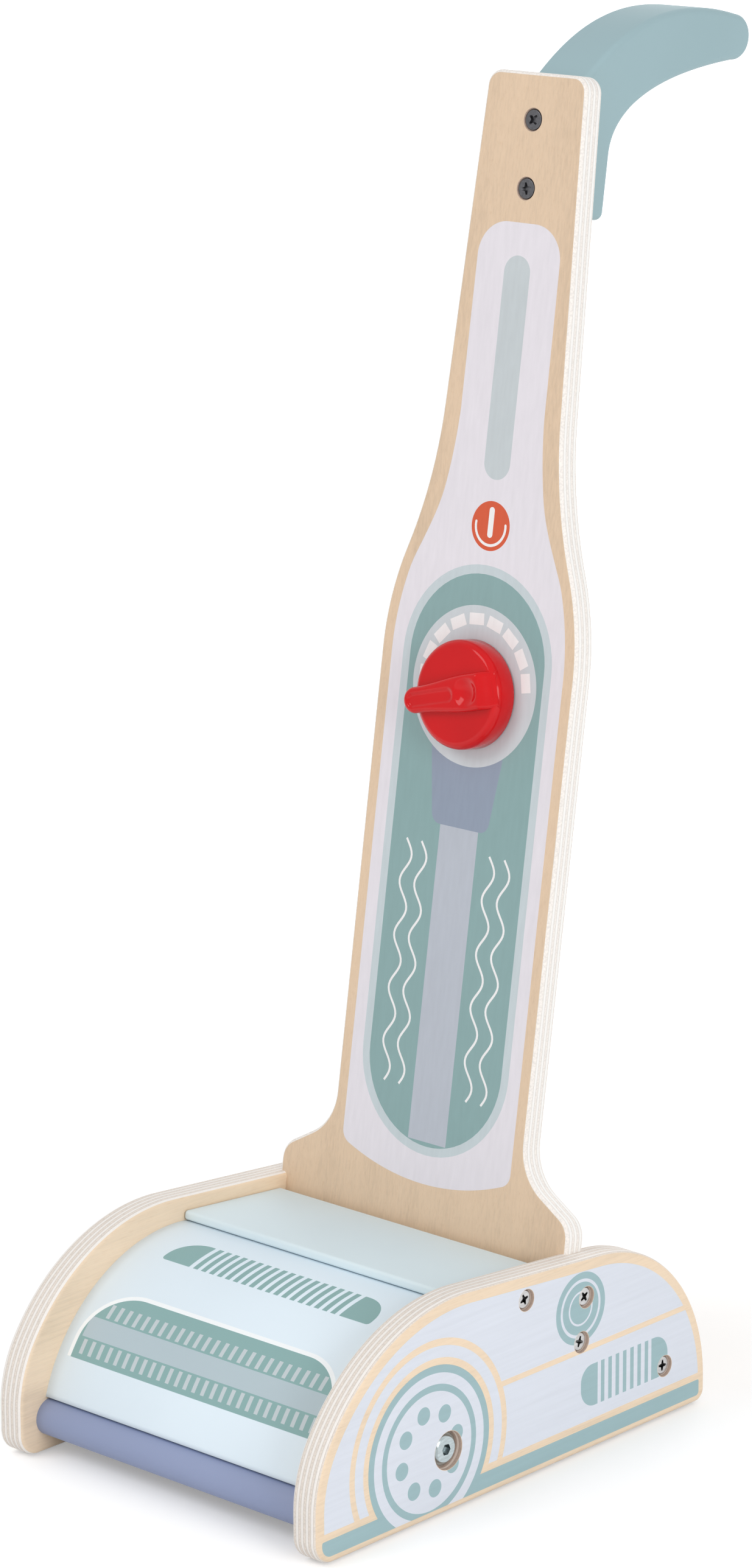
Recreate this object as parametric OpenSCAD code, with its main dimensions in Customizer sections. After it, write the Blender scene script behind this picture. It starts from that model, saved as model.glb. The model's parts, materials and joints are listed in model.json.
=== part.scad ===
// Wooden toy vacuum cleaner, pushed along on two hidden wheels.
// Two plywood side panels hold a bent front cover, a tipping lid and a leaning upright.
// The upright carries a turning dial and a curved grip.
// The front faces -Y, the width runs along X, and the wheels stand on Z = 0.
// Sizes in Y and Z are measured from the front and bottom edges of a side panel.

/* [Side panels] */
// Width over both side panels
body_w = 205; // [180:1:240]
// Depth of a side panel
body_d = 275.5; // [262:0.5:300]
// Thickness of a side panel
panel_t = 15; // [13:0.5:18]
// Radius of the front dome
dome_r = 102.7; // [101:0.1:106]
// Height of the dome's centre
dome_z = 0.7; // [0:0.1:3]
// How far the dome's circle is cut off by the straight front edge
dome_cut = 6.5; // [4:0.5:9]
// Radius that blends the dome into the front edge
nose_r = 61.2; // [45:0.1:75]
// Radius of the rounded back
tail_r = 84; // [80:0.5:88]
// Height of the back curve's centre
tail_z = 11.5; // [9:0.5:14]
// Radius of the front bottom corner
toe_r = 12; // [8:0.5:16]
// Radius of the rear bottom corner
heel_r = 6; // [3:0.5:10]

/* [Front cover and roller] */
// Distance of the bent cover below the panels' dome edges
cover_in = 12.7; // [12.2:0.1:14.7]
// Thickness of the cover
cover_t = 3; // [2:0.1:4]
// How far the cover's centre of curvature lies behind the dome's
cover_back = 6.3; // [5.3:0.1:7.8]
// Height of the cover's lower edge
cover_low = 27.6; // [27.2:0.1:34]
// How far the cover runs past the top of its curve
cover_past = 12.5; // [10:0.1:13]
// Depth of the curved groove in each side panel
groove_d = 4; // [2:0.5:6]
// Diameter of the front roller
roller_d = 18; // [14:0.5:18.5]
// Distance of the roller's axis behind the front
roller_y = 19.2; // [17:0.1:24]
// Height of the roller's axis
roller_z = 17.2; // [15:0.1:17.5]
// Depth of the blind seat for each roller end
roller_seat = 5; // [3:0.5:8]

/* [Lid] */
// How far the lid's lip laps over the end of the cover
lid_lap = 4.8; // [3:0.1:6]
// Gap between the lid's rear edge and the upright
lid_gap = 4.3; // [3.5:0.1:10]
// Thickness of the lid
lid_t = 10; // [8:0.5:12]
// Thickness of the lip that laps over the cover
lip_t = 4.7; // [3.5:0.1:4.9]
// Length of the lip
lip_l = 7.2; // [6.5:0.1:10]
// How far the lid's top lies below the panels' top edges
lid_sink = 7; // [5:0.1:7.2]
// Rounding of the lid's front and rear edges
lid_edge = 1.6; // [0.5:0.1:2]
// Distance of the lid's pivot behind its front edge
pivot_back = 32.7; // [28:0.1:36]
// How far a pivot screw reaches into the lid
pivot_grip = 22; // [15:1:40]

/* [Upright] */
// Distance of the upright's front face behind the front, at floor level
up_y = 167.7; // [166:0.1:176]
// Lean to the rear, in degrees
lean = 8.94; // [6:0.01:10]
// Thickness of the upright
up_t = 12; // [10:0.5:16]
// Length of the upright's top above the floor, along the board
up_l = 642; // [620:1:680]
// Height of the foot's lower end, along the board
foot_low = 44; // [36:1:50]
// Depth of the slots that hold the foot
dado_d = 5; // [3:0.5:7]
// Half width of the board below the shoulders
waist = 61; // [50:0.5:70]
// Where the shoulder curve starts
shoulder_v = 363; // [340:1:380]
// Radius of the shoulder curve
shoulder_r = 140; // [110:1:160]
// Steepest angle of the shoulder
shoulder_a = 21; // [16:0.5:24]
// Radius of the neck curve
neck_r = 222; // [180:1:240]
// Taper of each neck edge, in degrees
neck_a = 2.5; // [1:0.1:4]
// Radius of the two top corners
crown_r = 8; // [3:0.5:12]
// Where the foot starts to flare
flare_v = 144; // [138:1:150]
// Radius of the flare
flare_r = 26; // [20:1:30]
// Turn of the flare, in degrees
flare_a = 60; // [50:1:66]
// Radius of the foot's tips
tip_r = 12; // [8:0.5:14]

/* [Grip] */
// Width of the grip
grip_w = 32; // [24:1:40]
// Thickness of the grip's leg
grip_t = 28; // [22:0.5:34]
// Length of the leg below the upright's top
grip_leg = 65.8; // [60:0.1:82]
// Reach of the tip behind the upright
grip_reach = 124.7; // [100:0.1:150]
// Height of the grip's tip above the upright's top
grip_rise = 38; // [30:0.5:50]
// How far the grip arches up before its tip, as the pull on its top curve
grip_arch = 6.5; // [0:0.5:12]
// Radius of the rounded tip
grip_tip = 11; // [8:0.5:12]
// Distance below the upright's top at which the back of the leg starts to curve
bend_drop = 34.6; // [27:0.1:42]
// Distance below the upright's top at which the top curve leaves the board
leave_drop = 6; // [2:0.5:17]

/* [Dial] */
// Height of the dial's axis, along the board
dial_v = 349.1; // [320:0.1:380]
// Diameter of the knob
knob_d = 51; // [40:0.5:60]
// Height of the knob's face above the upright
knob_h = 11.5; // [8:0.5:16]
// Rounding of the knob's rim
knob_rim = 3.5; // [1.5:0.1:5]
// Height of the pointer's top above the upright
fin_h = 16; // [14:0.5:22]
// Reach of the pointer's tip from the axis
fin_reach = 28.4; // [24:0.1:32]
// Width of the pointer at its root
fin_w = 17.4; // [14:0.1:20]
// Width of the pointer at its tip
fin_tip_w = 12.2; // [8:0.1:14]
// Angle of the pointer below level, to the left
fin_rest = 15; // [0:1:45]
// Diameter of the spindle through the upright
spindle_d = 14; // [10:0.5:18]

/* [Wheels] */
// Distance of the axle behind the front
axle_y = 88.7; // [84:0.1:90]
// Height of the axle
axle_z = 30.2; // [29:0.1:31]
// How far the wheels stand below the panels
wheel_drop = 1; // [0.5:0.1:2]
// Width of a wheel
wheel_w = 18; // [12:1:24]
// Thickness of the rubber tyre
tyre_t = 3; // [2:0.5:5]
// Distance between a wheel and the panel beside it
wheel_side = 9.5; // [6:0.5:14]
// Diameter of the axle rod
axle_d = 12; // [10:0.5:16]
// Outer diameter of the spacers on the axle
sleeve_d = 22; // [18:0.5:28]

/* [Bin] */
// Height of the bin floor's underside
floor_z = 8; // [5:0.5:12]
// Thickness of the bin floor
floor_t = 6; // [4:0.5:9]
// Distance of the bin floor's front edge behind the front
floor_y = 122.5; // [122:0.5:132]
// Depth of the grooves that hold the bin floor
floor_d = 4; // [2:0.5:6]
// Distance of the rear rail's screws from the rear
rail_back = 31.2; // [26:0.1:36]
// Thickness of the rear rail
rail_t = 18; // [12:0.5:24]
// Height of the rear rail
rail_h = 40; // [30:1:50]
// Height of the rear rail's screws
rail_z = 26; // [24:0.5:32]

/* [Screws] */
// Shank diameter of the side screws
screw_d = 4; // [3:0.5:4.5]
// Head diameter of the side screws
screw_head = 8; // [6:0.5:9]
// Length of the side screws
screw_l = 38; // [30:1:50]
// Diameter of the sunk hole over a side screw
sink_d = 10; // [9:0.5:11]
// Depth of the sunk hole over a side screw
sink_h = 4; // [3:0.5:5]
// Height of the lower upright screw, along the board
low_screw_v = 57.4; // [54:0.1:62]
// Height of the upper upright screw, along the board
high_screw_v = 79.2; // [74:0.1:84]
// Shank diameter of the grip screws
grip_screw_d = 5; // [4:0.5:6]
// Head diameter of the grip screws
grip_screw_head = 10; // [8:0.5:11]
// Distance of the upper grip screw below the upright's top
grip_screw_drop = 22; // [20:0.5:28]
// Distance between the two grip screws
grip_screw_gap = 32; // [24:0.5:34]
// How far the grip screws' heads are sunk below the upright's face
grip_screw_sink = 0.2; // [0:0.1:1]
// Shank diameter of the axle bolts
bolt_d = 6; // [5:0.5:7]
// Head diameter of the axle bolts
bolt_head = 15; // [12:0.5:16]
// Diameter of the sunk hole over an axle bolt
bolt_sink = 18; // [17:0.5:20]
// Depth of the sunk hole over an axle bolt
bolt_sink_h = 5.3; // [4.5:0.1:7]

/* [Fits] */
// Radial clearance of a turning fit
running = 0.05; // [0.02:0.01:0.1]
// Clearance of a part that is slid in and stays
slip = 0.1; // [0.05:0.05:0.2]
// Gap between a moving part and its neighbours
gap = 0.5; // [0.3:0.1:0.8]

/* [Hidden] */
$fn = 96;
inner_x = body_w / 2 - panel_t;
dome_y = dome_r - dome_cut;
nose_z = dome_z + sqrt(pow(dome_r - nose_r, 2) - pow(dome_y - nose_r, 2));
nose_u = [nose_r - dome_y, nose_z - dome_z] / (dome_r - nose_r);
nose_p = [dome_y, dome_z] + dome_r * nose_u;
tail_y = body_d - tail_r;
top_a = asin((dome_r - tail_r) / norm([tail_y - dome_y, tail_z - dome_z]))
      - atan2(tail_z - dome_z, tail_y - dome_y);
top_n = [sin(top_a), cos(top_a)];
top_p = [dome_y, dome_z] + dome_r * top_n;
back_p = [tail_y, tail_z] + tail_r * top_n;
cover_r = dome_r - cover_in;
cover_y = dome_y + cover_back;
cover_z = dome_z;
cover_a0 = acos(cover_past / cover_r);
cover_a1 = 180 - asin((cover_low - cover_z) / cover_r);
lid_front = cover_y + cover_past - lid_lap;
pivot_y = lid_front + pivot_back;
pivot_z = top_p[1] - (pivot_y - top_p[0]) * tan(top_a) - (lid_sink + lid_t / 2) / cos(top_a);
lid_fwd = pivot_back / cos(top_a);
lid_l = (up_y + pivot_z * tan(lean) - lid_gap - lid_front) / cos(top_a);
lid_w = 2 * (inner_x - gap);
foot_x = inner_x + dado_d - slip;
rail_y = body_d - rail_back;
wheel_r = axle_z + wheel_drop;
wheel_x = inner_x - wheel_side - wheel_w;
grip_top = up_l + grip_rise;
grip_low = up_l - grip_leg;
grip_bend = up_l - bend_drop;
grip_leave = up_l - leave_drop;
grip_screw_v = [up_l - grip_screw_drop - grip_screw_gap, up_l - grip_screw_drop];
tip_y = up_y + (up_t + grip_reach - grip_tip) * cos(lean) + (grip_top - grip_tip) * sin(lean) + grip_tip;
mid_y = tip_y / 2;
head_h = 2.6;
head_edge = 0.6;
bolt_l = 40;
bolt_head_h = 4;
washer_t = 1.5;

// Points of a circular arc
function arc(c, r, a0, a1, n = 16) =
  [for (i = [0:n]) c + r * [cos(a0 + (a1 - a0) * i / n), sin(a0 + (a1 - a0) * i / n)]];

// Points of a cubic curve
function curve(a, b, c, d, n = 20) =
  [for (i = [0:n]) let (t = i / n, s = 1 - t)
    s * s * s * a + 3 * s * s * t * b + 3 * s * t * t * c + t * t * t * d];

// Moves from panel coordinates to the final frame
module place() {
  translate([0, -mid_y, wheel_drop]) children();
}

// Turns a drawing in (Y, Z) into a body along +X
module along_x(h) {
  rotate([90, 0, 90]) linear_extrude(h) children();
}

// Moves to the upright, with Y to its back and Z along the board
module on_upright() {
  translate([0, up_y, 0]) rotate([-lean, 0, 0]) children();
}

// Moves to the dial's axis, with Z out of the front face
module on_dial() {
  on_upright() translate([0, 0, dial_v]) rotate([90, 0, 0]) children();
}

// Moves to the lid's pivot, with Y along the lid
module on_lid() {
  translate([0, pivot_y, pivot_z]) rotate([-top_a, 0, 0]) children();
}

// Repeats a right hand part on both sides
module both_sides() {
  children();
  mirror([1, 0, 0]) children();
}

// Outline of a side panel, made of arcs that meet without a corner
module side_outline() {
  polygon([
    [toe_r, 0], [body_d - heel_r, 0], [body_d, heel_r], [body_d, tail_z],
    back_p, top_p, nose_p, [0, nose_z], [0, toe_r]
  ]);
  translate([toe_r, toe_r]) circle(toe_r);
  translate([body_d - heel_r, heel_r]) circle(heel_r);
  intersection() {
    translate([nose_r, nose_z]) circle(nose_r);
    translate([0, nose_z]) square([nose_p[0], dome_r]);
  }
  intersection() {
    translate([dome_y, dome_z]) circle(dome_r);
    translate(nose_p) square([top_p[0] - nose_p[0], dome_r]);
  }
  intersection() {
    translate([tail_y, tail_z]) circle(tail_r);
    translate([back_p[0], tail_z]) square([body_d - back_p[0], tail_r]);
  }
}

// Part of a ring between two angles
module ring_part(r0, r1, a0, a1) {
  far = 2 * r1;
  am = (a0 + a1) / 2;
  intersection() {
    difference() {
      circle(r1);
      circle(r0);
    }
    polygon([[0, 0], far * [cos(a0), sin(a0)], far * [cos(am), sin(am)], far * [cos(a1), sin(a1)]]);
  }
}

// Hole through a panel with a sunk mouth on its outer face
module panel_hole(d, mouth_d, mouth_h) {
  rotate([0, 90, 0]) {
    translate([0, 0, inner_x - 1]) cylinder(d = d, h = panel_t + 2);
    translate([0, 0, inner_x + panel_t - mouth_h]) cylinder(d = mouth_d, h = mouth_h + 1);
  }
}

// Cross slot in the top of a screw head
module cross_slot(d) {
  for (a = [0, 90]) rotate([0, 0, a]) translate([-0.3 * d, -0.06 * d, -1.4]) cube([0.6 * d, 0.12 * d, 2]);
}

// Screw with a flat sunk head, its head's top at Z = 0 and its shank below
module flat_screw(d, head, l) {
  cone = (head - d) / 2;
  difference() {
    union() {
      translate([0, 0, -head_edge]) cylinder(d = head, h = head_edge);
      translate([0, 0, -head_edge - cone]) cylinder(d1 = d, d2 = head, h = cone);
      translate([0, 0, -l]) cylinder(d = d, h = l - head_edge);
    }
    cross_slot(head);
  }
}

// Screw with a raised head that bears on a flat seat, its seat at Z = 0
module pan_screw(d, head, l) {
  difference() {
    union() {
      rotate_extrude() polygon(concat([[0, 0], [head / 2, 0]],
        [for (a = [0:15:90]) [head / 2 - 1 + cos(a), head_h - 1 + sin(a)]], [[0, head_h]]));
      translate([0, 0, -l]) cylinder(d = d, h = l + 0.5);
    }
    translate([0, 0, head_h]) cross_slot(head);
  }
}

// Right panel in panel coordinates, with its seats, grooves and holes
module panel_body() {
  difference() {
    translate([inner_x, 0, 0]) along_x(panel_t) side_outline();
    translate([inner_x - 1, roller_y, roller_z]) rotate([0, 90, 0])
      cylinder(d = roller_d + 2 * running, h = roller_seat + gap + 1);
    translate([inner_x - 1, cover_y, cover_z]) along_x(groove_d + 1)
      ring_part(cover_r - cover_t - slip, cover_r + slip, cover_a0 - slip, cover_a1 + slip);
    on_upright() translate([inner_x - 1, -slip, foot_low - slip])
      cube([dado_d + 1, up_t + 2 * slip, dome_r]);
    translate([inner_x - 1, floor_y - slip, floor_z - slip])
      cube([floor_d + 1, rail_y - rail_t / 2 - floor_y + slip, floor_t + 2 * slip]);
    translate([0, pivot_y, pivot_z]) panel_hole(screw_d + 2 * slip, sink_d, sink_h);
    on_upright() for (v = [low_screw_v, high_screw_v])
      translate([0, up_t / 2, v]) panel_hole(screw_d + 2 * slip, sink_d, sink_h);
    translate([0, rail_y, rail_z]) panel_hole(screw_d + 2 * slip, sink_d, sink_h);
    translate([0, axle_y, axle_z]) panel_hole(bolt_d + 2 * slip, bolt_sink, bolt_sink_h);
  }
}

module right_panel() {
  color("burlywood") place() panel_body();
}

module left_panel() {
  color("burlywood") place() mirror([1, 0, 0]) panel_body();
}

// Sheet bent to one radius, held in the curved grooves of both panels
module front_cover() {
  x = inner_x + groove_d - slip;
  color("aliceblue") place() translate([-x, cover_y, cover_z])
    along_x(2 * x) ring_part(cover_r - cover_t, cover_r, cover_a0, cover_a1);
}

// Dowel that turns in blind seats in both panels
module front_roller() {
  x = inner_x + roller_seat;
  color("lightsteelblue") place() translate([-x, roller_y, roller_z])
    rotate([0, 90, 0]) cylinder(d = roller_d, h = 2 * x);
}

// Plate that tips on its two pivot screws, with a lip over the cover's end
module lid() {
  e = lid_edge;
  front = -lid_fwd + e;
  back = lid_l - lid_fwd - e;
  top = lid_t / 2 - e;
  color("lightcyan") place() on_lid() difference() {
    translate([-lid_w / 2, 0, 0]) along_x(lid_w) polygon(concat(
      arc([front, lid_t / 2 - lip_t + e], e, 180, 270, 3),
      [[lip_l - lid_fwd, lid_t / 2 - lip_t], [lip_l - lid_fwd, -lid_t / 2]],
      arc([back, -top], e, 270, 360, 3), arc([back, top], e, 0, 90, 3), arc([front, top], e, 90, 180, 3)));
    both_sides() translate([lid_w / 2 - pivot_grip - 1, 0, 0]) rotate([0, 90, 0])
      cylinder(d = screw_d + 2 * running, h = pivot_grip + 2);
  }
}

module lid_pivots() {
  l = panel_t - sink_h + gap + pivot_grip - 1;
  color("silver") place() both_sides() translate([inner_x + panel_t - sink_h, pivot_y, pivot_z])
    rotate([0, 90, 0]) pan_screw(screw_d, screw_head, l);
}

// Half outline of the upright, from its foot to its crown
function upright_half() =
  let (
    flare_c = [waist + flare_r, flare_v],
    flare_e = flare_c - flare_r * [cos(flare_a), sin(flare_a)],
    down = 90 - flare_a,
    tip_x = foot_x - tip_r,
    line_x = tip_x + tip_r * sin(down),
    line_v = flare_e[1] - (line_x - flare_e[0]) * tan(down),
    tip_c = [tip_x, line_v - tip_r * cos(down)],
    shoulder_c = [waist - shoulder_r, shoulder_v],
    shoulder_e = shoulder_c + shoulder_r * [cos(shoulder_a), sin(shoulder_a)],
    neck_c = shoulder_e + neck_r * [cos(shoulder_a), sin(shoulder_a)],
    neck_e = neck_c - neck_r * [cos(neck_a), sin(neck_a)],
    crown_x = neck_e[0] - (up_l - crown_r - neck_e[1]) * tan(neck_a) - crown_r / cos(neck_a)
  )
  concat(
    [[foot_x, foot_low]],
    arc(tip_c, tip_r, 0, 90 - down, 8),
    arc(flare_c, flare_r, 180 + flare_a, 180, 12),
    arc(shoulder_c, shoulder_r, 0, shoulder_a, 12),
    arc(neck_c, neck_r, 180 + shoulder_a, 180 + neck_a, 14),
    arc([crown_x, up_l - crown_r], crown_r, neck_a, 90, 8)
  );

module upright_outline() {
  half = upright_half();
  n = len(half);
  polygon(concat(half, [for (i = [1:n]) [-half[n - i][0], half[n - i][1]]]));
}

module upright() {
  color("wheat") place() on_upright() difference() {
    translate([0, up_t, 0]) rotate([90, 0, 0]) linear_extrude(up_t) upright_outline();
    translate([0, -1, dial_v]) rotate([-90, 0, 0]) cylinder(d = spindle_d + 2 * running, h = up_t + 2);
    for (v = [low_screw_v, high_screw_v])
      both_sides() translate([foot_x - screw_l + dado_d, up_t / 2, v]) rotate([0, 90, 0])
        cylinder(d = screw_d + 2 * slip, h = screw_l);
    for (v = grip_screw_v) translate([0, 0, v]) rotate([-90, 0, 0]) {
      translate([0, 0, -1]) cylinder(d = grip_screw_d + 2 * slip, h = up_t + 2);
      translate([0, 0, -1]) cylinder(d = grip_screw_head + 2 * slip, h = grip_screw_sink + head_edge + 1);
      translate([0, 0, grip_screw_sink + head_edge])
        cylinder(d1 = grip_screw_head + 2 * slip, d2 = grip_screw_d + 2 * slip,
          h = (grip_screw_head - grip_screw_d) / 2);
    }
  }
}

module upright_screws() {
  color("silver") place() on_upright() for (v = [low_screw_v, high_screw_v])
    both_sides() translate([inner_x + panel_t - sink_h, up_t / 2, v]) rotate([0, 90, 0])
      pan_screw(screw_d, screw_head, screw_l);
}

// Side view of the grip, in distance behind the upright and height along it
module grip_outline() {
  tip_c = [grip_reach - grip_tip, grip_top - grip_tip];
  over = curve([0, grip_leave], [grip_t * 0.79, grip_top - 0.48 * grip_rise],
    [grip_reach * 0.44, grip_top + grip_arch], [tip_c[0], grip_top]);
  under = curve([tip_c[0], tip_c[1] - grip_tip], [grip_reach * 0.48, tip_c[1] - 2 * grip_tip],
    [grip_t, grip_bend + 0.8 * grip_t], [grip_t, grip_bend]);
  polygon(concat([[0, grip_low]], over, arc(tip_c, grip_tip, 78.75, -78.75, 14), under,
    [[grip_t, grip_low + 3], [grip_t - 3, grip_low]]));
}

module grip() {
  color("lightblue") place() on_upright() difference() {
    translate([-grip_w / 2, up_t, 0]) along_x(grip_w) grip_outline();
    for (v = grip_screw_v)
      translate([0, up_t - 1, v]) rotate([-90, 0, 0])
        cylinder(d = grip_screw_d + 2 * slip, h = 0.75 * grip_t);
  }
}

module grip_screws() {
  color("dimgray") place() on_upright() for (v = grip_screw_v)
    translate([0, grip_screw_sink, v]) rotate([90, 0, 0])
      flat_screw(grip_screw_d, grip_screw_head, up_t + 0.7 * grip_t);
}

// Plan of the pointer, from its root across the axis to its tip
module fin_plan() {
  tip_x = fin_reach - fin_tip_w / 2;
  polygon([[-knob_d / 2 + 2, -fin_w / 2 + 0.6], [-knob_d / 6, -fin_w / 2], [tip_x, -fin_tip_w / 2],
    [tip_x, fin_tip_w / 2], [-knob_d / 6, fin_w / 2], [-knob_d / 2 + 2, fin_w / 2 - 0.6]]);
  translate([tip_x, 0]) circle(fin_tip_w / 2);
}

// Side view of the pointer, with its root sloping down to the rim
module fin_side() {
  polygon([[-knob_d / 2, knob_h - 2], [-knob_d / 2 + 2, knob_h - 0.5], [-knob_d / 2 + 8, fin_h],
    [fin_reach + 1, fin_h], [fin_reach + 1, knob_h - 2]]);
}

module dial_knob() {
  color("crimson") place() on_dial() difference() {
    union() {
      rotate_extrude() polygon(concat([[0, gap], [knob_d / 2, gap]],
        arc([knob_d / 2 - knob_rim, knob_h - knob_rim], knob_rim, 0, 90, 6),
        [[0, knob_h]]));
      translate([0, 0, -up_t - gap]) cylinder(d = spindle_d, h = up_t + 2 * gap + 1);
      rotate([0, 0, 180 + fin_rest]) intersection() {
        translate([0, 0, knob_h - 2]) linear_extrude(fin_h) fin_plan();
        translate([0, knob_d / 2, 0]) rotate([90, 0, 0]) linear_extrude(knob_d) fin_side();
      }
    }
    rotate([0, 0, 180 + fin_rest]) {
      translate([-knob_d / 5, 0, fin_h + 10]) sphere(12);
      translate([0, 0, fin_h - 1]) cylinder(d = fin_tip_w / 2, h = 3);
      translate([0, -fin_tip_w / 4, fin_h - 1]) cube([fin_reach - 3, fin_tip_w / 2, 3]);
    }
    translate([0, 0, -up_t - gap - 1]) cylinder(d = screw_d + 2 * slip, h = up_t + 1);
  }
}

// Washer behind the upright that keeps the spindle in place
module dial_washer() {
  color("silver") place() on_dial() translate([0, 0, -up_t - gap - washer_t]) difference() {
    cylinder(d = spindle_d + 10, h = washer_t);
    translate([0, 0, -1]) cylinder(d = screw_d + 2 * slip, h = washer_t + 2);
  }
}

module dial_screw() {
  color("silver") place() on_dial() translate([0, 0, -up_t - gap - washer_t]) rotate([180, 0, 0])
    pan_screw(screw_d, screw_head, washer_t + up_t - 2);
}

module axle_rod() {
  color("gainsboro") place() translate([-inner_x, axle_y, axle_z]) rotate([0, 90, 0]) difference() {
    cylinder(d = axle_d, h = 2 * inner_x);
    for (z = [-1, 2 * inner_x - bolt_l]) translate([0, 0, z]) cylinder(d = bolt_d + 2 * slip, h = bolt_l + 1);
  }
}

// Bolt with a bevelled head and a six-sided socket
module axle_bolts() {
  l = bolt_l + panel_t - bolt_sink_h - 2;
  color("silver") place() both_sides() translate([inner_x + panel_t - bolt_sink_h, axle_y, axle_z])
    rotate([0, 90, 0]) difference() {
      union() {
        cylinder(d = bolt_head, h = bolt_head_h - 1.6);
        translate([0, 0, bolt_head_h - 1.6]) cylinder(d1 = bolt_head, d2 = bolt_head - 5, h = 1.6);
        translate([0, 0, -l]) cylinder(d = bolt_d, h = l + 0.5);
      }
      translate([0, 0, bolt_head_h - 2.5]) cylinder(d = 4.6, h = 4, $fn = 6);
    }
}

// Tube on the axle between the wheels
module axle_sleeve() {
  l = 2 * (wheel_x - gap);
  color("tan") place() translate([-l / 2, axle_y, axle_z]) rotate([0, 90, 0]) difference() {
    cylinder(d = sleeve_d, h = l);
    translate([0, 0, -1]) cylinder(d = axle_d + 2 * slip, h = l + 2);
  }
}

// Ring on the axle between each wheel and its panel
module axle_rings() {
  l = wheel_side - gap;
  color("tan") place() both_sides() translate([inner_x - l, axle_y, axle_z]) rotate([0, 90, 0]) difference() {
    cylinder(d = sleeve_d, h = l);
    translate([0, 0, -1]) cylinder(d = axle_d + 2 * slip, h = l + 2);
  }
}

module wheel_body() {
  translate([wheel_x, axle_y, axle_z]) rotate([0, 90, 0]) difference() {
    cylinder(r = wheel_r - tyre_t, h = wheel_w);
    translate([0, 0, -1]) cylinder(d = axle_d + 2 * running, h = wheel_w + 2);
  }
}

module tyre_body() {
  r0 = wheel_r - tyre_t;
  translate([wheel_x, axle_y, axle_z]) rotate([0, 90, 0]) rotate_extrude() polygon([
    [r0, 1], [wheel_r - 1, 1], [wheel_r, 2],
    [wheel_r, wheel_w - 2], [wheel_r - 1, wheel_w - 1], [r0, wheel_w - 1]
  ]);
}

module right_wheel() {
  color("burlywood") place() wheel_body();
}

module left_wheel() {
  color("burlywood") place() mirror([1, 0, 0]) wheel_body();
}

module right_tyre() {
  color("dimgray") place() tyre_body();
}

module left_tyre() {
  color("dimgray") place() mirror([1, 0, 0]) tyre_body();
}

// Board in two grooves that closes the bin below the lid
module bin_floor() {
  x = inner_x + floor_d - slip;
  color("burlywood") place() translate([-x, floor_y, floor_z])
    cube([2 * x, rail_y - rail_t / 2 - floor_y - slip, floor_t]);
}

module rear_rail() {
  color("burlywood") place() difference() {
    translate([-inner_x, rail_y - rail_t / 2, rail_z - rail_h / 2]) cube([2 * inner_x, rail_t, rail_h]);
    both_sides() translate([inner_x - screw_l, rail_y, rail_z]) rotate([0, 90, 0])
      cylinder(d = screw_d + 2 * slip, h = screw_l + 1);
  }
}

module rail_screws() {
  color("silver") place() both_sides() translate([inner_x + panel_t - sink_h, rail_y, rail_z])
    rotate([0, 90, 0]) pan_screw(screw_d, screw_head, screw_l);
}

right_panel();
left_panel();
front_cover();
front_roller();
lid();
lid_pivots();
upright();
upright_screws();
grip();
grip_screws();
dial_knob();
dial_washer();
dial_screw();
axle_rod();
axle_bolts();
axle_sleeve();
axle_rings();
right_wheel();
left_wheel();
right_tyre();
left_tyre();
bin_floor();
rear_rail();
rail_screws();
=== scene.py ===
import json
import math

import bmesh
import bpy
from bpy.props import FloatProperty, FloatVectorProperty, IntProperty, PointerProperty
from mathutils import Matrix, Vector
from mathutils.geometry import delaunay_2d_cdt, tessellate_polygon

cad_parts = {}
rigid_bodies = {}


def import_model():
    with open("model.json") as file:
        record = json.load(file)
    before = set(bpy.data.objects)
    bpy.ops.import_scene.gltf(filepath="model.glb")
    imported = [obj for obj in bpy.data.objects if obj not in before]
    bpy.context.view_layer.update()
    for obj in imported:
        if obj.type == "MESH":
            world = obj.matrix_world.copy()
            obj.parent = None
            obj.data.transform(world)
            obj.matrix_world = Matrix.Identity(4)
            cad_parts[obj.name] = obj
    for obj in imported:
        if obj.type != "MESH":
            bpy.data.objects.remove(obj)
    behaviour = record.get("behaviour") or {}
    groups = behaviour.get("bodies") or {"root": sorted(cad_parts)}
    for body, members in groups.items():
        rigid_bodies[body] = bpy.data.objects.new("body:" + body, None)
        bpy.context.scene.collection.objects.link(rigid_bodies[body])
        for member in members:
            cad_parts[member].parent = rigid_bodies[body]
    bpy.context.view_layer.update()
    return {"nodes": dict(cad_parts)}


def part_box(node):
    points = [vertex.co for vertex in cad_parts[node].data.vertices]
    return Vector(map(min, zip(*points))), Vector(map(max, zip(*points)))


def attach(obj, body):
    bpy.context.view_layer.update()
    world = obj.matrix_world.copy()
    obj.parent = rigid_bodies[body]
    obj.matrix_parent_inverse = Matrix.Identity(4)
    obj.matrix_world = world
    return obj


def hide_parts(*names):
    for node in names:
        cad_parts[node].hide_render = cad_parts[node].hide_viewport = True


bl_info = {
    "name": "Toy vacuum cleaner",
    "version": (1, 0, 0),
    "blender": (4, 5, 0),
    "location": "View3D > Sidebar > Toy",
    "description": "Gives the wooden toy vacuum cleaner its rounded boards, paint, prints and screws",
    "category": "Object",
}

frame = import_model()
MM = 0.001
LOW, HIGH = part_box("right_panel")
SIDE, FRONT, BASE = HIGH.x, LOW.y, LOW.z
PANEL_T = (HIGH.x - LOW.x) / MM

# Outline of the side panels, in millimetres from their front and bottom edges
DEPTH = (HIGH.y - LOW.y) / MM
DOME_Y, DOME_Z, DOME_R = 96.2, 0.7, 102.7
NOSE_R, TAIL_R, TAIL_Z, TOE_R, HEEL_R = 61.2, 84.0, 11.5, 12.0, 6.0
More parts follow.
